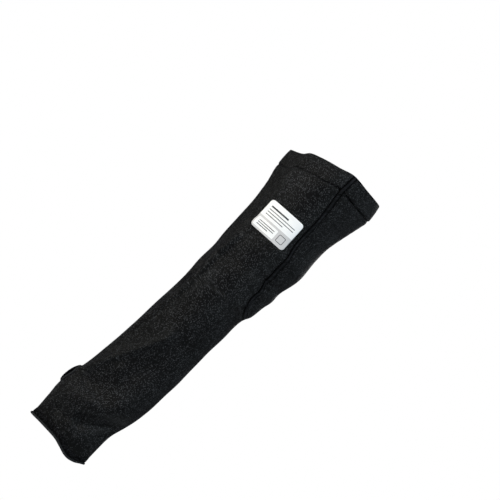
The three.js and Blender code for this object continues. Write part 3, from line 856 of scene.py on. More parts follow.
class Shader:
    """A material's node tree, with short calls for the nodes that the finishes use."""

    def __init__(self, name: str) -> None:
        """Starts a material.

        Args:
            name: The material's name.
        """
        self.material = bpy.data.materials.new(name)
        self.material.use_nodes = True
        self.nodes = self.material.node_tree.nodes
        self.links = self.material.node_tree.links
        self.surface = self.nodes["Principled BSDF"]

    def feed(self, socket: bpy.types.NodeSocket, value: Input | Sequence[float]) -> None:
        """Links a socket, or sets its constant.

        Args:
            socket: The socket that takes the value.
            value: An output socket, a number or a colour.
        """
        if isinstance(value, bpy.types.NodeSocket):
            self.links.new(value, socket)
        else:
            socket.default_value = value

    def sum(self, operation: str, first: Input, second: Input = 0.0, third: Input = 0.0,
            clamp: bool = False) -> bpy.types.NodeSocket:
        """Adds a Math node.

        Args:
            operation: The node's operation.
            first: Its first value.
            second: Its second value.
            third: Its third value, where the operation has one.
            clamp: Whether the result is kept between 0 and 1.

        Returns:
            The result.
        """
        node = self.nodes.new("ShaderNodeMath")
        node.operation = operation
        node.use_clamp = clamp
        for socket, value in zip(node.inputs, (first, second, third)):
            self.feed(socket, value)
        return node.outputs[0]

    def cloth(self) -> tuple[bpy.types.NodeSocket, bpy.types.NodeSocket]:
        """Reads the piece's flat measures.

        Returns:
            The distance round and the distance along, in metres.
        """
        uv = self.nodes.new("ShaderNodeUVMap")
        uv.uv_map = "cloth"
        parts = self.nodes.new("ShaderNodeSeparateXYZ")
        self.feed(parts.inputs[0], uv.outputs[0])
        return parts.outputs[0], parts.outputs[1]

    def place(self) -> bpy.types.NodeSocket:
        """Reads the place on the piece, in metres in the row's frame."""
        return self.nodes.new("ShaderNodeTexCoord").outputs["Object"]

    def height(self) -> bpy.types.NodeSocket:
        """Reads the height on the piece.

        Returns:
            The height, in metres in the row's frame.
        """
        parts = self.nodes.new("ShaderNodeSeparateXYZ")
        self.feed(parts.inputs[0], self.place())
        return parts.outputs[2]

    def cells(self, value: bpy.types.NodeSocket
              ) -> tuple[bpy.types.NodeSocket, bpy.types.NodeSocket]:
        """Splits a number into its whole cell and the place in the cell, from -0.5 to 0.5."""
        place = self.sum("SUBTRACT", self.sum("FRACT", value), 0.5)
        return self.sum("FLOOR", value), place

    def arch(self, value: bpy.types.NodeSocket) -> bpy.types.NodeSocket:
        """Gives a rounded rise, 1 where the value is 0 and 0 where it is 1 or -1."""
        return self.sum("SUBTRACT", 1.0, self.sum("MULTIPLY", value, value))

    def join(self, x: Input, y: Input, z: Input = 0.0) -> bpy.types.NodeSocket:
        """Joins three numbers into a vector.

        Args:
            x: The first number.
            y: The second number.
            z: The third number.

        Returns:
            The vector.
        """
        node = self.nodes.new("ShaderNodeCombineXYZ")
        for socket, value in zip(node.inputs, (x, y, z)):
            self.feed(socket, value)
        return node.outputs[0]

    def chance(self, vector: bpy.types.NodeSocket) -> bpy.types.NodeSocket:
        """Draws a number for each cell.

        Args:
            vector: The cell's whole numbers.

        Returns:
            The cell's own number, between 0 and 1.
        """
        node = self.nodes.new("ShaderNodeTexWhiteNoise")
        node.noise_dimensions = "3D"
        self.feed(node.inputs["Vector"], vector)
        return node.outputs["Value"]

    def noise(self, vector: bpy.types.NodeSocket, scale: float, detail: float = 3.0,
              roughness: float = 0.6) -> bpy.types.NodeSocket:
        """Adds a noise texture.

        Args:
            vector: The coordinates.
            scale: The texture's scale.
            detail: Its detail.
            roughness: Its roughness.

        Returns:
            The noise, around 0.5.
        """
        node = self.nodes.new("ShaderNodeTexNoise")
        self.feed(node.inputs["Vector"], vector)
        node.inputs["Scale"].default_value = scale
        node.inputs["Detail"].default_value = detail
        node.inputs["Roughness"].default_value = roughness
        return node.outputs["Fac"]

    def blend(self, factor: Input, first: Input | Sequence[float],
              second: Input | Sequence[float]) -> bpy.types.NodeSocket:
        """Mixes two colours.

        Args:
            factor: How much of the second shows.
            first: The first colour.
            second: The second colour.

        Returns:
            The mixed colour.
        """
        node = self.nodes.new("ShaderNodeMix")
        node.data_type = "RGBA"
        self.feed(node.inputs["Factor"], factor)
        self.feed(node.inputs["A"], first)
        self.feed(node.inputs["B"], second)
        return node.outputs["Result"]

    def bump(self, height: bpy.types.NodeSocket, distance: float,
             strength: float) -> bpy.types.NodeSocket:
        """Adds a bump.

        Args:
            height: The relief, from 0 to 1.
            distance: The relief's height in metres.
            strength: How strongly it shows.

        Returns:
            The bumped normal.
        """
        node = self.nodes.new("ShaderNodeBump")
        node.inputs["Strength"].default_value = strength
        node.inputs["Distance"].default_value = distance
        self.feed(node.inputs["Height"], height)
        return node.outputs[0]

    def finish(self, colour: bpy.types.NodeSocket, normal: bpy.types.NodeSocket, roughness: float,
               specular: float) -> bpy.types.Material:
        """Gives the surface its values.

        Args:
            colour: The colour.
            normal: The bumped normal.
            roughness: The roughness.
            specular: The strength of the gloss.

        Returns:
            The material.
        """
        self.feed(self.surface.inputs["Base Color"], colour)
        self.feed(self.surface.inputs["Normal"], normal)
        self.surface.inputs["Roughness"].default_value = roughness
        self.surface.inputs["Specular IOR Level"].default_value = specular
        return self.material


class Tint(NamedTuple):
    """A colour in linear values."""

    red: float
    green: float
    blue: float

    def rgba(self) -> tuple[float, float, float, float]:
        """Gives the colour with full alpha."""
        return self.red, self.green, self.blue, 1.0


@dataclass(frozen=True)
class KnitFinish:
    """Plain knit of black yarn with a few grey glass-like fibres in it, and painted shade towards
    the hand edge, where the flecks thin out.
    """

    name: str = "knit"
    wale: float = 0.95
    course: float = 0.75
    leg_slant: float = 0.9
    black: Tint = Tint(0.0005, 0.0005, 0.0006)
    grey: Tint = Tint(0.0038, 0.0038, 0.0041)
    pale: Tint = Tint(0.055, 0.055, 0.058)
    grey_from: float = 0.58
    pale_from: float = 0.91
    patch_scale: float = 45.0
    # Painted shade: from 415 mm under the upper opening's middle down to 445 mm, the grey and pale
    # flecks thin out, so the knit is darker towards the hand edge
    painted_shade_below: float = -415.0
    painted_shade_over: float = 30.0
    painted_shade_grey_rise: float = 0.3
    painted_shade_pale_rise: float = 0.035
    patch_spread: float = 0.1
    leg_aside: float = 0.25
    loop_arch: float = 0.6
    relief: float = 0.14
    relief_strength: float = 0.8
    roughness: float = 0.38
    specular: float = 0.1

    def material(self) -> bpy.types.Material:
        """Builds the material.

        Returns:
            The material.
        """
        shader = Shader(self.name)
        across, along = shader.cloth()
        wale_cell, in_wale = shader.cells(shader.sum("MULTIPLY", across, 1 / (self.wale * MM)))
        aside = shader.sum("ABSOLUTE", in_wale)
        courses = shader.sum("MULTIPLY", along, 1 / (self.course * MM))
        slanted = shader.sum("MULTIPLY_ADD", aside, self.leg_slant, courses)
        course_cell, in_course = shader.cells(slanted)
        side = shader.sum("GREATER_THAN", in_wale, 0.0)
        leg = shader.chance(shader.join(wale_cell, course_cell, side))
        patches = shader.noise(shader.place(), self.patch_scale)
        spread = shader.sum("MULTIPLY_ADD", patches, self.patch_spread, -self.patch_spread / 2)
        drawn = shader.sum("ADD", leg, spread)
        # Painted shade mask: 0 higher up, rising to 1 towards the hand edge, where it raises the
        # lines that the flecks must pass, so fewer show
        closed = shader.sum("MULTIPLY_ADD", shader.height(), -1 / (self.painted_shade_over * MM),
                            self.painted_shade_below / self.painted_shade_over, clamp=True)
        colour = self.black.rgba()
        for start, shade_rise, tint in ((self.grey_from, self.painted_shade_grey_rise, self.grey),
                                     (self.pale_from, self.painted_shade_pale_rise, self.pale)):
            line = shader.sum("MULTIPLY_ADD", closed, shade_rise, start)
            colour = shader.blend(shader.sum("GREATER_THAN", drawn, line), colour, tint.rgba())
        off_leg = shader.sum("SUBTRACT", aside, self.leg_aside)
        round_leg = shader.arch(shader.sum("MULTIPLY", off_leg, 1 / self.leg_aside))
        long_leg = shader.arch(shader.sum("MULTIPLY", in_course, 2.0))
        rise = shader.sum("MULTIPLY_ADD", long_leg, self.loop_arch, 1 - self.loop_arch)
        loop = shader.sum("MULTIPLY", round_leg, rise)
        normal = shader.bump(loop, self.relief * MM, self.relief_strength)
        return shader.finish(colour, normal, self.roughness, self.specular)


@dataclass(frozen=True)
class ThreadFinish:
    """Smooth black thread lying side by side over an edge or a seam, with painted shade at a seam's
    sides and a painted highlight on a rolled edge.
    """

    name: str
    pitch: float = 0.62
    slant: float = 0.35
    black: Tint = Tint(0.0002, 0.0002, 0.00025)
    worn: Tint = Tint(0.001, 0.001, 0.0012)
    # Painted shade: the colour that the strip's sides fade to, standing in for the shadow down the
    # seam's channel
    shade: Tint = Tint(0.0004, 0.0004, 0.0004)
    patch_scale: float = 160.0
    wear: float = 1.3
    relief: float = 0.2
    relief_strength: float = 0.7
    roughness: float = 0.42
    specular: float = 0.045
    # Painted highlight: a lighter colour on the rows nearest the lower edge, standing in for the
    # sheen on the hand binding's rolled edge
    rolled: Tint = Tint(0.02, 0.02, 0.021)
    roll_highlight_to: float = -NOWHERE
    fleck: Tint = Tint(0.015, 0.015, 0.017)
    fleck_length: float = 0.8
    fleck_from: float = NEVER
    fleck_rise: float = 0.0
    fleck_draw: float = 5.0
    # How far off the middle the painted shade starts, and the width that it fades in over
    shade_from: float = NOWHERE
    shade_fade: float = 0.35

    def material(self) -> bpy.types.Material:
        """Builds the material.

        Returns:
            The material.
        """
        shader = Shader(self.name)
        along, across = shader.cloth()
        turned = shader.sum("MULTIPLY_ADD", across, self.slant, along)
        cell, in_thread = shader.cells(shader.sum("MULTIPLY", turned, 1 / (self.pitch * MM)))
        crown = shader.arch(shader.sum("MULTIPLY", in_thread, 2.0))
        own = shader.chance(shader.join(cell, 0.0))
        patches = shader.noise(shader.place(), self.patch_scale)
        wear = shader.sum("MULTIPLY", shader.sum("MULTIPLY", own, patches), self.wear, clamp=True)
        stretch = shader.sum("FLOOR", shader.sum("MULTIPLY", across, 1 / (self.fleck_length * MM)))
        chance = shader.chance(shader.join(cell, stretch, self.fleck_draw))
        line = shader.sum("MULTIPLY_ADD", across, -self.fleck_rise / MM, self.fleck_from)
        flecked = shader.sum("GREATER_THAN", chance, line)
        # Painted highlight on the rolled edge's rows
        roll = shader.sum("LESS_THAN", across, self.roll_highlight_to * MM)
        # Painted shade along the strip's sides, for the shadow down the seam's channel
        off = shader.sum("SUBTRACT", shader.sum("ABSOLUTE", across), self.shade_from * MM)
        edge = shader.sum("MULTIPLY", off, 1 / (self.shade_fade * MM), clamp=True)
        colour = self.black.rgba()
        for share, tint in ((wear, self.worn), (flecked, self.fleck), (roll, self.rolled),
                            (edge, self.shade)):
            colour = shader.blend(share, colour, tint.rgba())
        normal = shader.bump(crown, self.relief * MM, self.relief_strength)
        return shader.finish(colour, normal, self.roughness, self.specular)


class Box(NamedTuple):
    """A rounded box on the label, in millimetres from its middle."""

    across: float
    up: float
    half_width: float
    half_height: float
    corner: float


@dataclass(frozen=True)
class LabelFinish:
    """Coated white label cloth with a grey lower part and a few plain printed shapes."""

    name: str = "label"
    white: Tint = Tint(0.97, 0.94, 0.92)
    grey: Tint = Tint(0.64, 0.61, 0.6)
    ink: Tint = Tint(0.05, 0.05, 0.055)
    grey_top: float = -2.6
    panel: Box = Box(-8.2, -11.3, 15.3, 6.1, 1.5)
    bars: tuple[Box, ...] = (
        Box(-6.5, 12.4, 13.5, 1.0, 0.4),
        Box(0.0, 8.4, 20.0, 0.45, 0.2),
        Box(0.0, 5.0, 20.0, 0.45, 0.2),
        Box(-6.5, 1.6, 13.5, 0.45, 0.2),
        Box(-8.2, -8.7, 12.0, 0.45, 0.2),
        Box(-8.2, -11.3, 12.0, 0.45, 0.2),
        Box(-11.7, -13.9, 8.5, 0.45, 0.2),
    )
    outline: Box = Box(15.2, -11.0, 4.4, 4.4, 1.2)
    line: float = 0.7
    weave_scale: float = 900.0
    weave_detail: float = 2.0
    weave_relief: float = 0.05
    weave_strength: float = 0.5
    roughness: float = 0.55
    specular: float = 0.35

    def material(self) -> bpy.types.Material:
        """Builds the material.

        Returns:
            The material.
        """
        shader = Shader(self.name)
        across, up = shader.cloth()
        lower = shader.sum("LESS_THAN", up, self.grey_top * MM)
        colour = shader.blend(lower, self.white.rgba(), self.grey.rgba())
        panel = self.distance(shader, across, up, self.panel)
        colour = shader.blend(shader.sum("LESS_THAN", panel, 0.0), colour, self.white.rgba())
        for bar in self.bars:
            inside = shader.sum("LESS_THAN", self.distance(shader, across, up, bar), 0.0)
            colour = shader.blend(inside, colour, self.ink.rgba())
        off = shader.sum("ABSOLUTE", self.distance(shader, across, up, self.outline))
        drawn = shader.sum("LESS_THAN", off, self.line * MM / 2)
        colour = shader.blend(drawn, colour, self.ink.rgba())
        weave = shader.noise(shader.join(across, up), self.weave_scale, self.weave_detail)
        normal = shader.bump(weave, self.weave_relief * MM, self.weave_strength)
        return shader.finish(colour, normal, self.roughness, self.specular)

    @staticmethod
    def distance(shader: Shader, across: bpy.types.NodeSocket, up: bpy.types.NodeSocket,
                 box: Box) -> bpy.types.NodeSocket:
        """Measures the distance from a rounded box, which is below 0 inside it.

        Args:
            shader: The material's nodes.
            across: Distance across the label in metres.
            up: Distance up the label in metres.
            box: The box.

        Returns:
            The distance in metres.
        """
        sides = []
        for value, middle, half in ((across, box.across, box.half_width),
                                    (up, box.up, box.half_height)):
            off = shader.sum("ABSOLUTE", shader.sum("SUBTRACT", value, middle * MM))
            sides.append(shader.sum("SUBTRACT", off, (half - box.corner) * MM))
        out = [shader.sum("MAXIMUM", side, 0.0) for side in sides]
        squares = [shader.sum("MULTIPLY", value, value) for value in out]
        corner = shader.sum("SQRT", shader.sum("ADD", *squares))
        inner = shader.sum("MINIMUM", shader.sum("MAXIMUM", *sides), 0.0)
        return shader.sum("SUBTRACT", shader.sum("ADD", corner, inner), box.corner * MM)


@dataclass
class KnitTube:
    """The knitted tube of the arm, from the hand binding to the hem's stitch line."""

    form: SleeveForm
    finish: bpy.types.Material
    rows: int = 236
    tuck: float = 1.4
    tuck_share: float = 0.006
    rim_reach: float = 1.6

    def build(self) -> bpy.types.Object:
        """Builds the tube with its thumb hole.

        Returns:
            The piece.
        """
        courses = Courses(self.form)
        share = np.linspace(0, 1, self.rows)
        angle, height = courses.lay(share, self.form.tube_low, self.form.tube_high)
        near_hem = np.exp(-((1 - share) / self.tuck_share) ** 2) * self.tuck
        drawn = near_hem[:, None] * self.form.stitch_pull(angle)
        points = self.form.under(angle, height, courses.sink()[None, :] + drawn)
        patch = Patch("knit_cloth", points, Patch.measure(points), Joined.ROUND)
        bm = patch.mesh()
        self.cut_thumb_hole(bm)
        piece = clad(patch.name, bm, self.finish, self.form.knit_wall)
        return seat(piece, "knit", "knit_tube")

    def cut_thumb_hole(self, bm: bmesh.types.BMesh) -> None:
        """Cuts the oval hole in the left side, under the middle of its rim.

        Args:
            bm: The tube's mesh.
        """
        form = self.form
        half_long = (form.thumb_length + form.thumb_rim) / 2 * MM
        half_wide = (form.thumb_width + form.thumb_rim) / 2 * MM
        middle_z = (form.thumb_height - form.sleeve_length) * MM
        middle_y = -form.thumb_forward * MM

        def share(point: Vector) -> float:
            """Gives how far out a point lies, 1 on the oval."""
            return math.hypot((point.y - middle_y) / half_wide, (point.z - middle_z) / half_long)

        inside = [
            face for face in bm.faces
            if face.calc_center_median().x < 0 and share(face.calc_center_median()) < 1
        ]
        bmesh.ops.delete(bm, geom=inside, context="FACES")
        rim = [
            vert for vert in bm.verts
            if vert.is_boundary and vert.co.x < 0 and share(vert.co) < self.rim_reach
            and vert.link_faces and abs(vert.co.z - middle_z) < 2 * half_long
        ]
        out = np.array([share(vert.co) for vert in rim])
        y = np.array([vert.co.y for vert in rim])
        z = np.array([vert.co.z for vert in rim])
        y = middle_y + (y - middle_y) / out
        height = (middle_z + (z - middle_z) / out) / MM + form.sleeve_length
        at = form.left_side_angle(-y / MM, height)
        x = form.knit_point(at, height)[0]
        for vert, new_x, new_y, new_height in zip(rim, x, y, height):
            vert.co = (new_x * MM, new_y, (new_height - form.sleeve_length) * MM)


@dataclass
class UpperHem:
    """The turned hem, a doubled band of the knit, with the row of stitches that holds it."""

    form: SleeveForm
    finish: bpy.types.Material
    thread: bpy.types.Material
    wall: float = 3.2
    face_rows: int = 12
    fold_rows: int = 8
    face_from: float = 0.14
    groove: float = 1.7
    groove_rows: tuple[tuple[float, float, float], ...] = (
        (0.0, 0.3, 1.0), (0.01, 0.0, 1.0), (0.035, 0.0, 0.35), (0.07, 0.0, 0.0),
    )
    stitch_pitch: float = 3.4
    stitch_length: float = 2.4
    stitch_radius: float = 0.32
    stitch_up: float = 0.02
    stitch_depth: float = 0.9
    stitch_give: float = 0.8
    stitch_lead: float = 0.3

    def outline(self) -> list[tuple[float, float, float]]:
        """Gives the band's closed outline.

        Returns:
            Rows of the share of its height, the depth and the groove's depth in millimetres.
        """
        fold = self.wall / 2 / self.form.hem_depth
        rows = [(up, depth, share * self.groove) for up, depth, share in self.groove_rows]
        rows += [(float(up), 0.0, 0.0)
                 for up in np.linspace(self.face_from, 1 - fold, self.face_rows)]
        for turn in np.linspace(0, math.pi, self.fold_rows + 2)[1:-1]:
            inward = self.wall / 2 * (1 - math.cos(turn))
            rows.append((1 - fold + fold * math.sin(turn), inward, 0.0))
        rows += [(float(up), self.wall, 0.0)
                 for up in np.linspace(1 - fold, 0, self.face_rows // 2)]
        return rows + rows[:1]

    def build(self) -> list[bpy.types.Object]:
        """Builds the band and its stitches.

        Returns:
            The pieces.
        """
        courses = Courses(self.form)
        angle = courses.edge_angles(self.form.stitch_line)
        pull = self.form.stitch_pull(angle)
        points = np.array([self.form.hem_point(angle, up, depth + groove * pull + courses.sink())
                           for up, depth, groove in self.outline()])
        patch = Patch("hem_band", points, Patch.measure_upright(points), Joined.BOTH)
        band = seat(clad(patch.name, patch.mesh(), self.finish), "knit", "upper_hem")
        return [band, self.stitches()]

    def stitches(self) -> bpy.types.Object:
        """Builds the row of stitches along the hem's lower edge.

        Returns:
            The piece.
        """
        courses = Courses(self.form)
        angle = courses.edge_angles(self.form.stitch_line)
        pull = self.form.stitch_pull(angle)
        depth = self.stitch_depth + self.stitch_give * (1 - pull) + courses.sink()
        line = self.form.hem_point(angle, self.stitch_up, depth)
        run = run_along(line)
        count = int(run[-1] / self.stitch_pitch)
        starts = (np.arange(count) + self.stitch_lead) * run[-1] / count
        bm = bmesh.new()
        uv = bm.loops.layers.uv.new("cloth")
        for start in starts:
            ends = [
                Vector([float(np.interp(at % run[-1], run, line[:, axis])) for axis in range(3)])
                for at in (start, start + self.stitch_length)
            ]
            self.stitch(bm, *ends)
        for face in bm.faces:
            for loop in face.loops:
                loop[uv].uv = loop.vert.co.xz
        bmesh.ops.recalc_face_normals(bm, faces=bm.faces)
        return seat(clad("hem_stitches", bm, self.thread), "seam_thread")

    def stitch(self, bm: bmesh.types.BMesh, start: Vector, end: Vector) -> None:
        """Adds one stitch, a short thread with sunk ends.

        Args:
            bm: The mesh that takes it.
            start: Where it comes out, in millimetres.
            end: Where it goes in, in millimetres.
        """
        lift = Vector((0, 0, self.form.sleeve_length))
        middle = ((start + end) / 2 - lift) * MM
        along = (end - start).normalized()
        length = (end - start).length * MM
        radius = self.stitch_radius * MM
        turn = along.to_track_quat("Z", "Y").to_matrix().to_4x4()
        stretch = Matrix.Diagonal((radius, radius, length / 2, 1))
        made = bmesh.ops.create_uvsphere(
            bm, u_segments=6, v_segments=5, radius=1,
            matrix=Matrix.Translation(middle) @ turn @ stretch,
        )
        for vert in made["verts"]:
            for face in vert.link_faces:
                face.smooth = True


@dataclass
class SideSeam:
    """The flat seam that runs the whole length, over the hem and down to the hand edge."""

    form: SleeveForm
    finish: bpy.types.Material
    rows: int = 300
    hem_rows: int = 13
    wall: float = 0.6
    turn_from: float = 0.93
    turn_over: float = 0.07
    turn_depth: float = 1.2
    across: tuple[tuple[float, float], ...] = (
        (-2.7, 0.75), (-2.45, 0.35), (-2.0, 0.12), (-1.2, 0.02), (0, 0),
        (1.2, 0.02), (2.0, 0.12), (2.45, 0.35), (2.7, 0.75),
    )

    def build(self) -> bpy.types.Object:
        """Builds the strip.

        Returns:
            The piece.
        """
        form = self.form
        courses = Courses(form)
        share = np.linspace(0, 1, self.rows)
        columns = []
        hem_shares = np.linspace(0, 1, self.hem_rows + 1)[1:]
        hem_depths = [self.turn_depth * max(0.0, up - self.turn_from) / self.turn_over
                      for up in hem_shares]
        for offset, depth in self.across:
            angle = courses.beside(share, offset, form.tube_low, form.tube_high)
            height = form.tube_low(angle) + share * (form.tube_high(angle) - form.tube_low(angle))
            tube = form.under(angle, height, depth)
            top = courses.beside(np.array([1.0]), offset, form.stitch_line, form.stitch_line)
            hem = [form.hem_point(top, float(up), depth + turned)[0]
                   for up, turned in zip(hem_shares, hem_depths)]
            columns.append(np.concatenate([tube, np.array(hem)]))
        points = np.stack(columns, axis=1)
        run = run_along(points[:, len(self.across) // 2])
        flat = np.stack(np.broadcast_arrays(
            run[:, None], np.array([offset for offset, _ in self.across])[None, :]), axis=-1)
        patch = Patch("seam_strip", points, flat)
        piece = clad(patch.name, patch.mesh(), self.finish, self.wall)
        return seat(piece, "seam_thread", "side_seam")


@dataclass
class HandBinding:
    """The overlocked band round the hand opening, with its rolled lower edge."""

    form: SleeveForm
    finish: bpy.types.Material
    wall: float = 2.4
    face_lift: float = 0.3
    face_ends: tuple[float, float] = (0.5, 1.2)
    face_rows: int = 6
    lip_rows: tuple[tuple[float, float], ...] = ((0.15, 0.3), (0.9, -0.05), (0.7, -0.3))
    crease: tuple[float, float] = (0.45, 0.35)
    roll: float = 0.8
    roll_height: float = 3.4
    roll_turns: tuple[float, float] = (0.25, 1.5)
    roll_rows: int = 12
    nub_height: float = 0.5
    nub_sharpness: int = 40
    inner_foot: float = 1.2
    inner_rows: int = 5

    def outline(self) -> list[tuple[float, float, float]]:
        """Gives the band's closed outline.

        Returns:
            Rows of height, depth and how much of the roll's fullness each row takes.
        """
        top = self.form.hand_band_height
        face_high, face_low = top - self.face_ends[0], self.roll_height + self.face_ends[1]
        rows = [(top + up, depth, 0.0) for up, depth in self.lip_rows]
        rows += [(float(up), -self.face_lift, 0.0)
                 for up in np.linspace(face_high, face_low, self.face_rows)]
        rows.append((self.roll_height + self.crease[0], self.crease[1], 0.0))
        radius = self.roll_height / 2
        first, last = (turn * math.pi for turn in self.roll_turns)
        for turn in np.linspace(first, last, self.roll_rows):
            inward = radius * (1 - math.sin(turn)) if turn > math.pi / 2 else 0.0
            bulge = max(0.0, math.sin(min(turn, math.pi)))
            rows.append((radius + radius * math.cos(turn), inward, bulge))
        rows += [(float(up), self.wall, 0.0)
                 for up in np.linspace(self.inner_foot, top, self.inner_rows)]
        return rows + rows[:1]

    def build(self) -> bpy.types.Object:
        """Builds the band.

        Returns:
            The piece.
        """
        outline = self.outline()
        angle = Courses(self.form).edge_angles(self.form.hand_edge)
        foot = self.form.hand_edge(angle)
        nub = self.nub_height * np.abs(np.cos(angle)) ** self.nub_sharpness
        points = np.array([
            self.form.under(angle, foot + up, min(depth, self.wall) - bulge * (self.roll + nub))
            for up, depth, bulge in outline
        ])
        # The finish goes by the height on the band, so each row's own height is laid flat
        flat = Patch.measure_upright(points)
        flat[:, :, 1] = np.array([up for up, _, _ in outline])[:, None]
        patch = Patch("hand_band", points, flat, Joined.BOTH)
        band = clad(patch.name, patch.mesh(), self.finish)
        return seat(band, "binding_thread", "hand_binding")


@dataclass
class ThumbBinding:
    """The bound rim of the thumb hole, which follows the sleeve's side."""

    form: SleeveForm
    finish: bpy.types.Material
    thickness: float = 2.8
    steps: int = 96
    corners: int = 14

    def build(self) -> bpy.types.Object:
        """Builds the ring.

        Returns:
            The piece.
        """
        form = self.form
        turn = np.linspace(0, TURN, self.steps + 1)
        half_wide = (form.thumb_width + form.thumb_rim) / 2
        half_long = (form.thumb_length + form.thumb_rim) / 2
        forward = form.thumb_forward + half_wide * np.cos(turn)
        height = form.thumb_height + half_long * np.sin(turn)
        wall = form.under(form.left_side_angle(forward, height), height, form.knit_wall / 2)
        away = np.stack([np.cos(turn) / half_wide, np.sin(turn) / half_long], axis=1)
        away = away / np.linalg.norm(away, axis=1)[:, None]
        rows = []
        for corner in np.linspace(0, TURN, self.corners + 1):
            out = math.cos(corner) * self.thickness / 2
            aside = math.sin(corner) * form.thumb_rim / 2
            rows.append(np.stack([
                wall[:, 0] - out, -forward - away[:, 0] * aside, height + away[:, 1] * aside,
            ], axis=1))
        points = np.array(rows)
        around = np.linspace(0, math.pi * self.thickness, self.corners + 1)
        flat = np.stack(np.broadcast_arrays(run_along(wall)[None, :], around[:, None]), axis=-1)
        patch = Patch("thumb_rim", points, flat, Joined.BOTH)
        rim = clad(patch.name, patch.mesh(), self.finish)
        return seat(rim, "binding_thread", "thumb_binding")


@dataclass
class SewnLabel:
    """The small rounded label below the hem, which follows the knit."""

    form: SleeveForm
    finish: bpy.types.Material
    width: float = 50.5
    height: float = 39.5
    thickness: float = 0.5
    corner: float = 4
    centre_height: float = 367.5
    centre_left: float = 7.4
    tilt: float = math.radians(5)
    lift: float = 1.0
    columns: int = 40
    corner_rows: int = 8
    middle_rows: int = 20

    def row_sizes(self) -> list[tuple[float, float]]:
        """Gives the label's rows from top to bottom.

        Returns:
            Each row's place up from the middle and half of its width.
        """
        straight = self.height / 2 - self.corner
        rows = []
        for turn in np.linspace(0, math.pi / 2, self.corner_rows):
            rows.append((straight + self.corner * math.cos(turn),
                         self.width / 2 - self.corner * (1 - math.sin(turn))))
        middle = [(float(up), self.width / 2)
                  for up in np.linspace(straight, -straight, self.middle_rows)[1:-1]]
        return rows + middle + [(-up, half) for up, half in reversed(rows)]

    def build(self) -> bpy.types.Object:
        """Builds the label.

        Returns:
            The piece.
        """
        rows = self.row_sizes()
        up = np.array([row[0] for row in rows])[:, None] + np.zeros(self.columns)[None, :]
        half = np.array([row[1] for row in rows])[:, None]
        across = half * np.linspace(-1, 1, self.columns)[None, :]
        height = self.centre_height + up * math.cos(self.tilt) + across * math.sin(self.tilt)
        way = across * math.cos(self.tilt) - up * math.sin(self.tilt)
        level = self.form.level(height)
        middle = np.arccos((-self.centre_left - level.centre) / level.half_width)
        angle = self.form.go_round(middle, -way, height)
        points = self.form.under(angle, height, -self.lift)
        patch = Patch("label_cloth", points, np.stack([across, up], axis=-1))
        piece = clad(patch.name, patch.mesh(), self.finish, self.thickness)
        return seat(piece, "label", "label")


class Lamp(NamedTuple):
    """A soft light: its direction and distance from the sleeve, size, power and colour."""

    name: str
    towards: tuple[float, float, float]
    away: float
    size: tuple[float, float]
    power: float
    colour: tuple[float, float, float]


LAMPS = (
    Lamp("upper", (-0.4, -0.78, 0.46), 2.1, (0.8, 0.8), 26.5, (0.89, 0.96, 1.0)),
    Lamp("left", (-0.92, -0.34, 0.12), 1.3, (0.2, 0.7), 7.5, (1.0, 0.97, 0.84)),
    Lamp("right", (0.9, -0.42, 0.25), 1.6, (0.5, 1.0), 12.5, (0.78, 0.93, 1.0)),
    Lamp("back", (0.25, 0.9, 0.3), 2.2, (1.2, 1.2), 5.0, (1.0, 1.0, 1.0)),
)


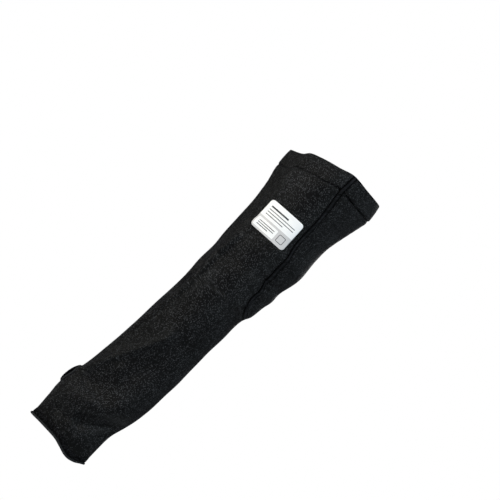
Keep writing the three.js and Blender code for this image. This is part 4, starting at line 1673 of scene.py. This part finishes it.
@dataclass
class Studio:
    """Pale floor, soft lights and the camera at the photograph's viewing angle."""

    frame_width: float = 594.4
    lens: float = 150
    sensor: float = 36
    aim_x: float = -7.2
    aim_z: float = -133.1
    roll_right: float = 0.6842
    roll_up: float = 0.7294
    floor_height: float = -0.70
    floor_half: float = 0.78
    floor_grey: float = 0.88
    floor_roughness: float = 0.9
    lit_height: float = -0.23
    room: Tint = Tint(0.9, 0.93, 1.0)
    room_strength: float = 0.14
    clip_end: float = 20

    def camera(self) -> None:
        """Sets the camera level before the sleeve, rolled as the photograph is."""
        data = bpy.data.cameras.new("camera")
        data.lens = self.lens
        data.sensor_width = self.sensor
        data.dof.use_dof = False
        data.clip_end = self.clip_end
        camera = bpy.data.objects.new("camera", data)
        away = self.frame_width * MM * self.lens / self.sensor
        right = Vector((self.roll_right, 0, self.roll_up))
        up = Vector((-self.roll_up, 0, self.roll_right))
        back = right.cross(up)
        place = Vector((self.aim_x * MM, -away, self.aim_z * MM))
        camera.matrix_world = Matrix((
            (right.x, up.x, back.x, place.x),
            (right.y, up.y, back.y, place.y),
            (right.z, up.z, back.z, place.z),
            (0, 0, 0, 1),
        ))
        bpy.context.scene.collection.objects.link(camera)
        bpy.context.scene.camera = camera

    def floor(self) -> None:
        """Lays the pale floor well below the sleeve."""
        bm = bmesh.new()
        bmesh.ops.create_grid(bm, x_segments=1, y_segments=1, size=self.floor_half)
        bmesh.ops.translate(bm, verts=bm.verts, vec=(0, 0, self.floor_height))
        floor = finish_mesh("floor", bm)
        shader = Shader("floor")
        grey = self.floor_grey
        shader.surface.inputs["Base Color"].default_value = (grey, grey, grey, 1)
        shader.surface.inputs["Roughness"].default_value = self.floor_roughness
        floor.data.materials.append(shader.material)

    def area_light(self, lamp: Lamp) -> None:
        """Adds a soft light that faces the sleeve.

        Args:
            lamp: The light.
        """
        data = bpy.data.lights.new(lamp.name, "AREA")
        data.shape = "RECTANGLE"
        data.size, data.size_y = lamp.size
        data.energy = lamp.power
        data.color = lamp.colour
        light = bpy.data.objects.new(lamp.name, data)
        aim = -Vector(lamp.towards).normalized()
        light.location = Vector((0, 0, self.lit_height)) - aim * lamp.away
        light.rotation_euler = aim.to_track_quat("-Z", "Y").to_euler()
        bpy.context.scene.collection.objects.link(light)

    def world(self) -> None:
        """Fills the room with soft light, and shows the backdrop white."""
        world = bpy.data.worlds.new("studio")
        bpy.context.scene.world = world
        world.use_nodes = True
        nodes, links = world.node_tree.nodes, world.node_tree.links
        background = nodes["Background"]
        background.inputs["Color"].default_value = self.room.rgba()
        background.inputs["Strength"].default_value = self.room_strength
        backdrop = nodes.new("ShaderNodeBackground")
        backdrop.inputs["Color"].default_value = (1, 1, 1, 1)
        backdrop.inputs["Strength"].default_value = 1.0
        path = nodes.new("ShaderNodeLightPath")
        mix = nodes.new("ShaderNodeMixShader")
        links.new(path.outputs["Is Camera Ray"], mix.inputs[0])
        links.new(background.outputs[0], mix.inputs[1])
        links.new(backdrop.outputs[0], mix.inputs[2])
        links.new(mix.outputs[0], nodes["World Output"].inputs["Surface"])

    def build(self) -> None:
        """Builds the whole studio."""
        self.camera()
        self.floor()
        self.world()
        for lamp in LAMPS:
            self.area_light(lamp)
        bpy.context.scene.view_settings.view_transform = "Standard"


def main() -> None:
    """Builds the sleeve and its studio."""
    logging.basicConfig(level=logging.INFO, format="%(name)s: %(message)s")
    Studio().build()
    knit = KnitFinish().material()
    # The seam thread's sides get painted shade, from 1.2 mm off its middle
    seam_thread = ThreadFinish(
        "seam_thread", slant=0.8, worn=Tint(0.028, 0.028, 0.031), shade_from=1.2,
    ).material()
    # The hand binding's lowest 2.9 mm, its rolled edge, get a painted highlight
    binding_thread = ThreadFinish(
        "binding_thread", roll_highlight_to=2.9, fleck_from=1.0, fleck_rise=0.035,
    ).material()
    stitch_thread = ThreadFinish("stitch_thread").material()
    label_cloth = LabelFinish().material()

    tube = KnitTube(FORM, knit).build()
    hem, stitches = UpperHem(FORM, knit, stitch_thread).build()
    seam = SideSeam(FORM, seam_thread).build()
    hand_band = HandBinding(FORM, binding_thread).build()
    thumb_rim = ThumbBinding(FORM, binding_thread).build()
    label = SewnLabel(FORM, label_cloth).build()


if __name__ == "__main__":
    main()
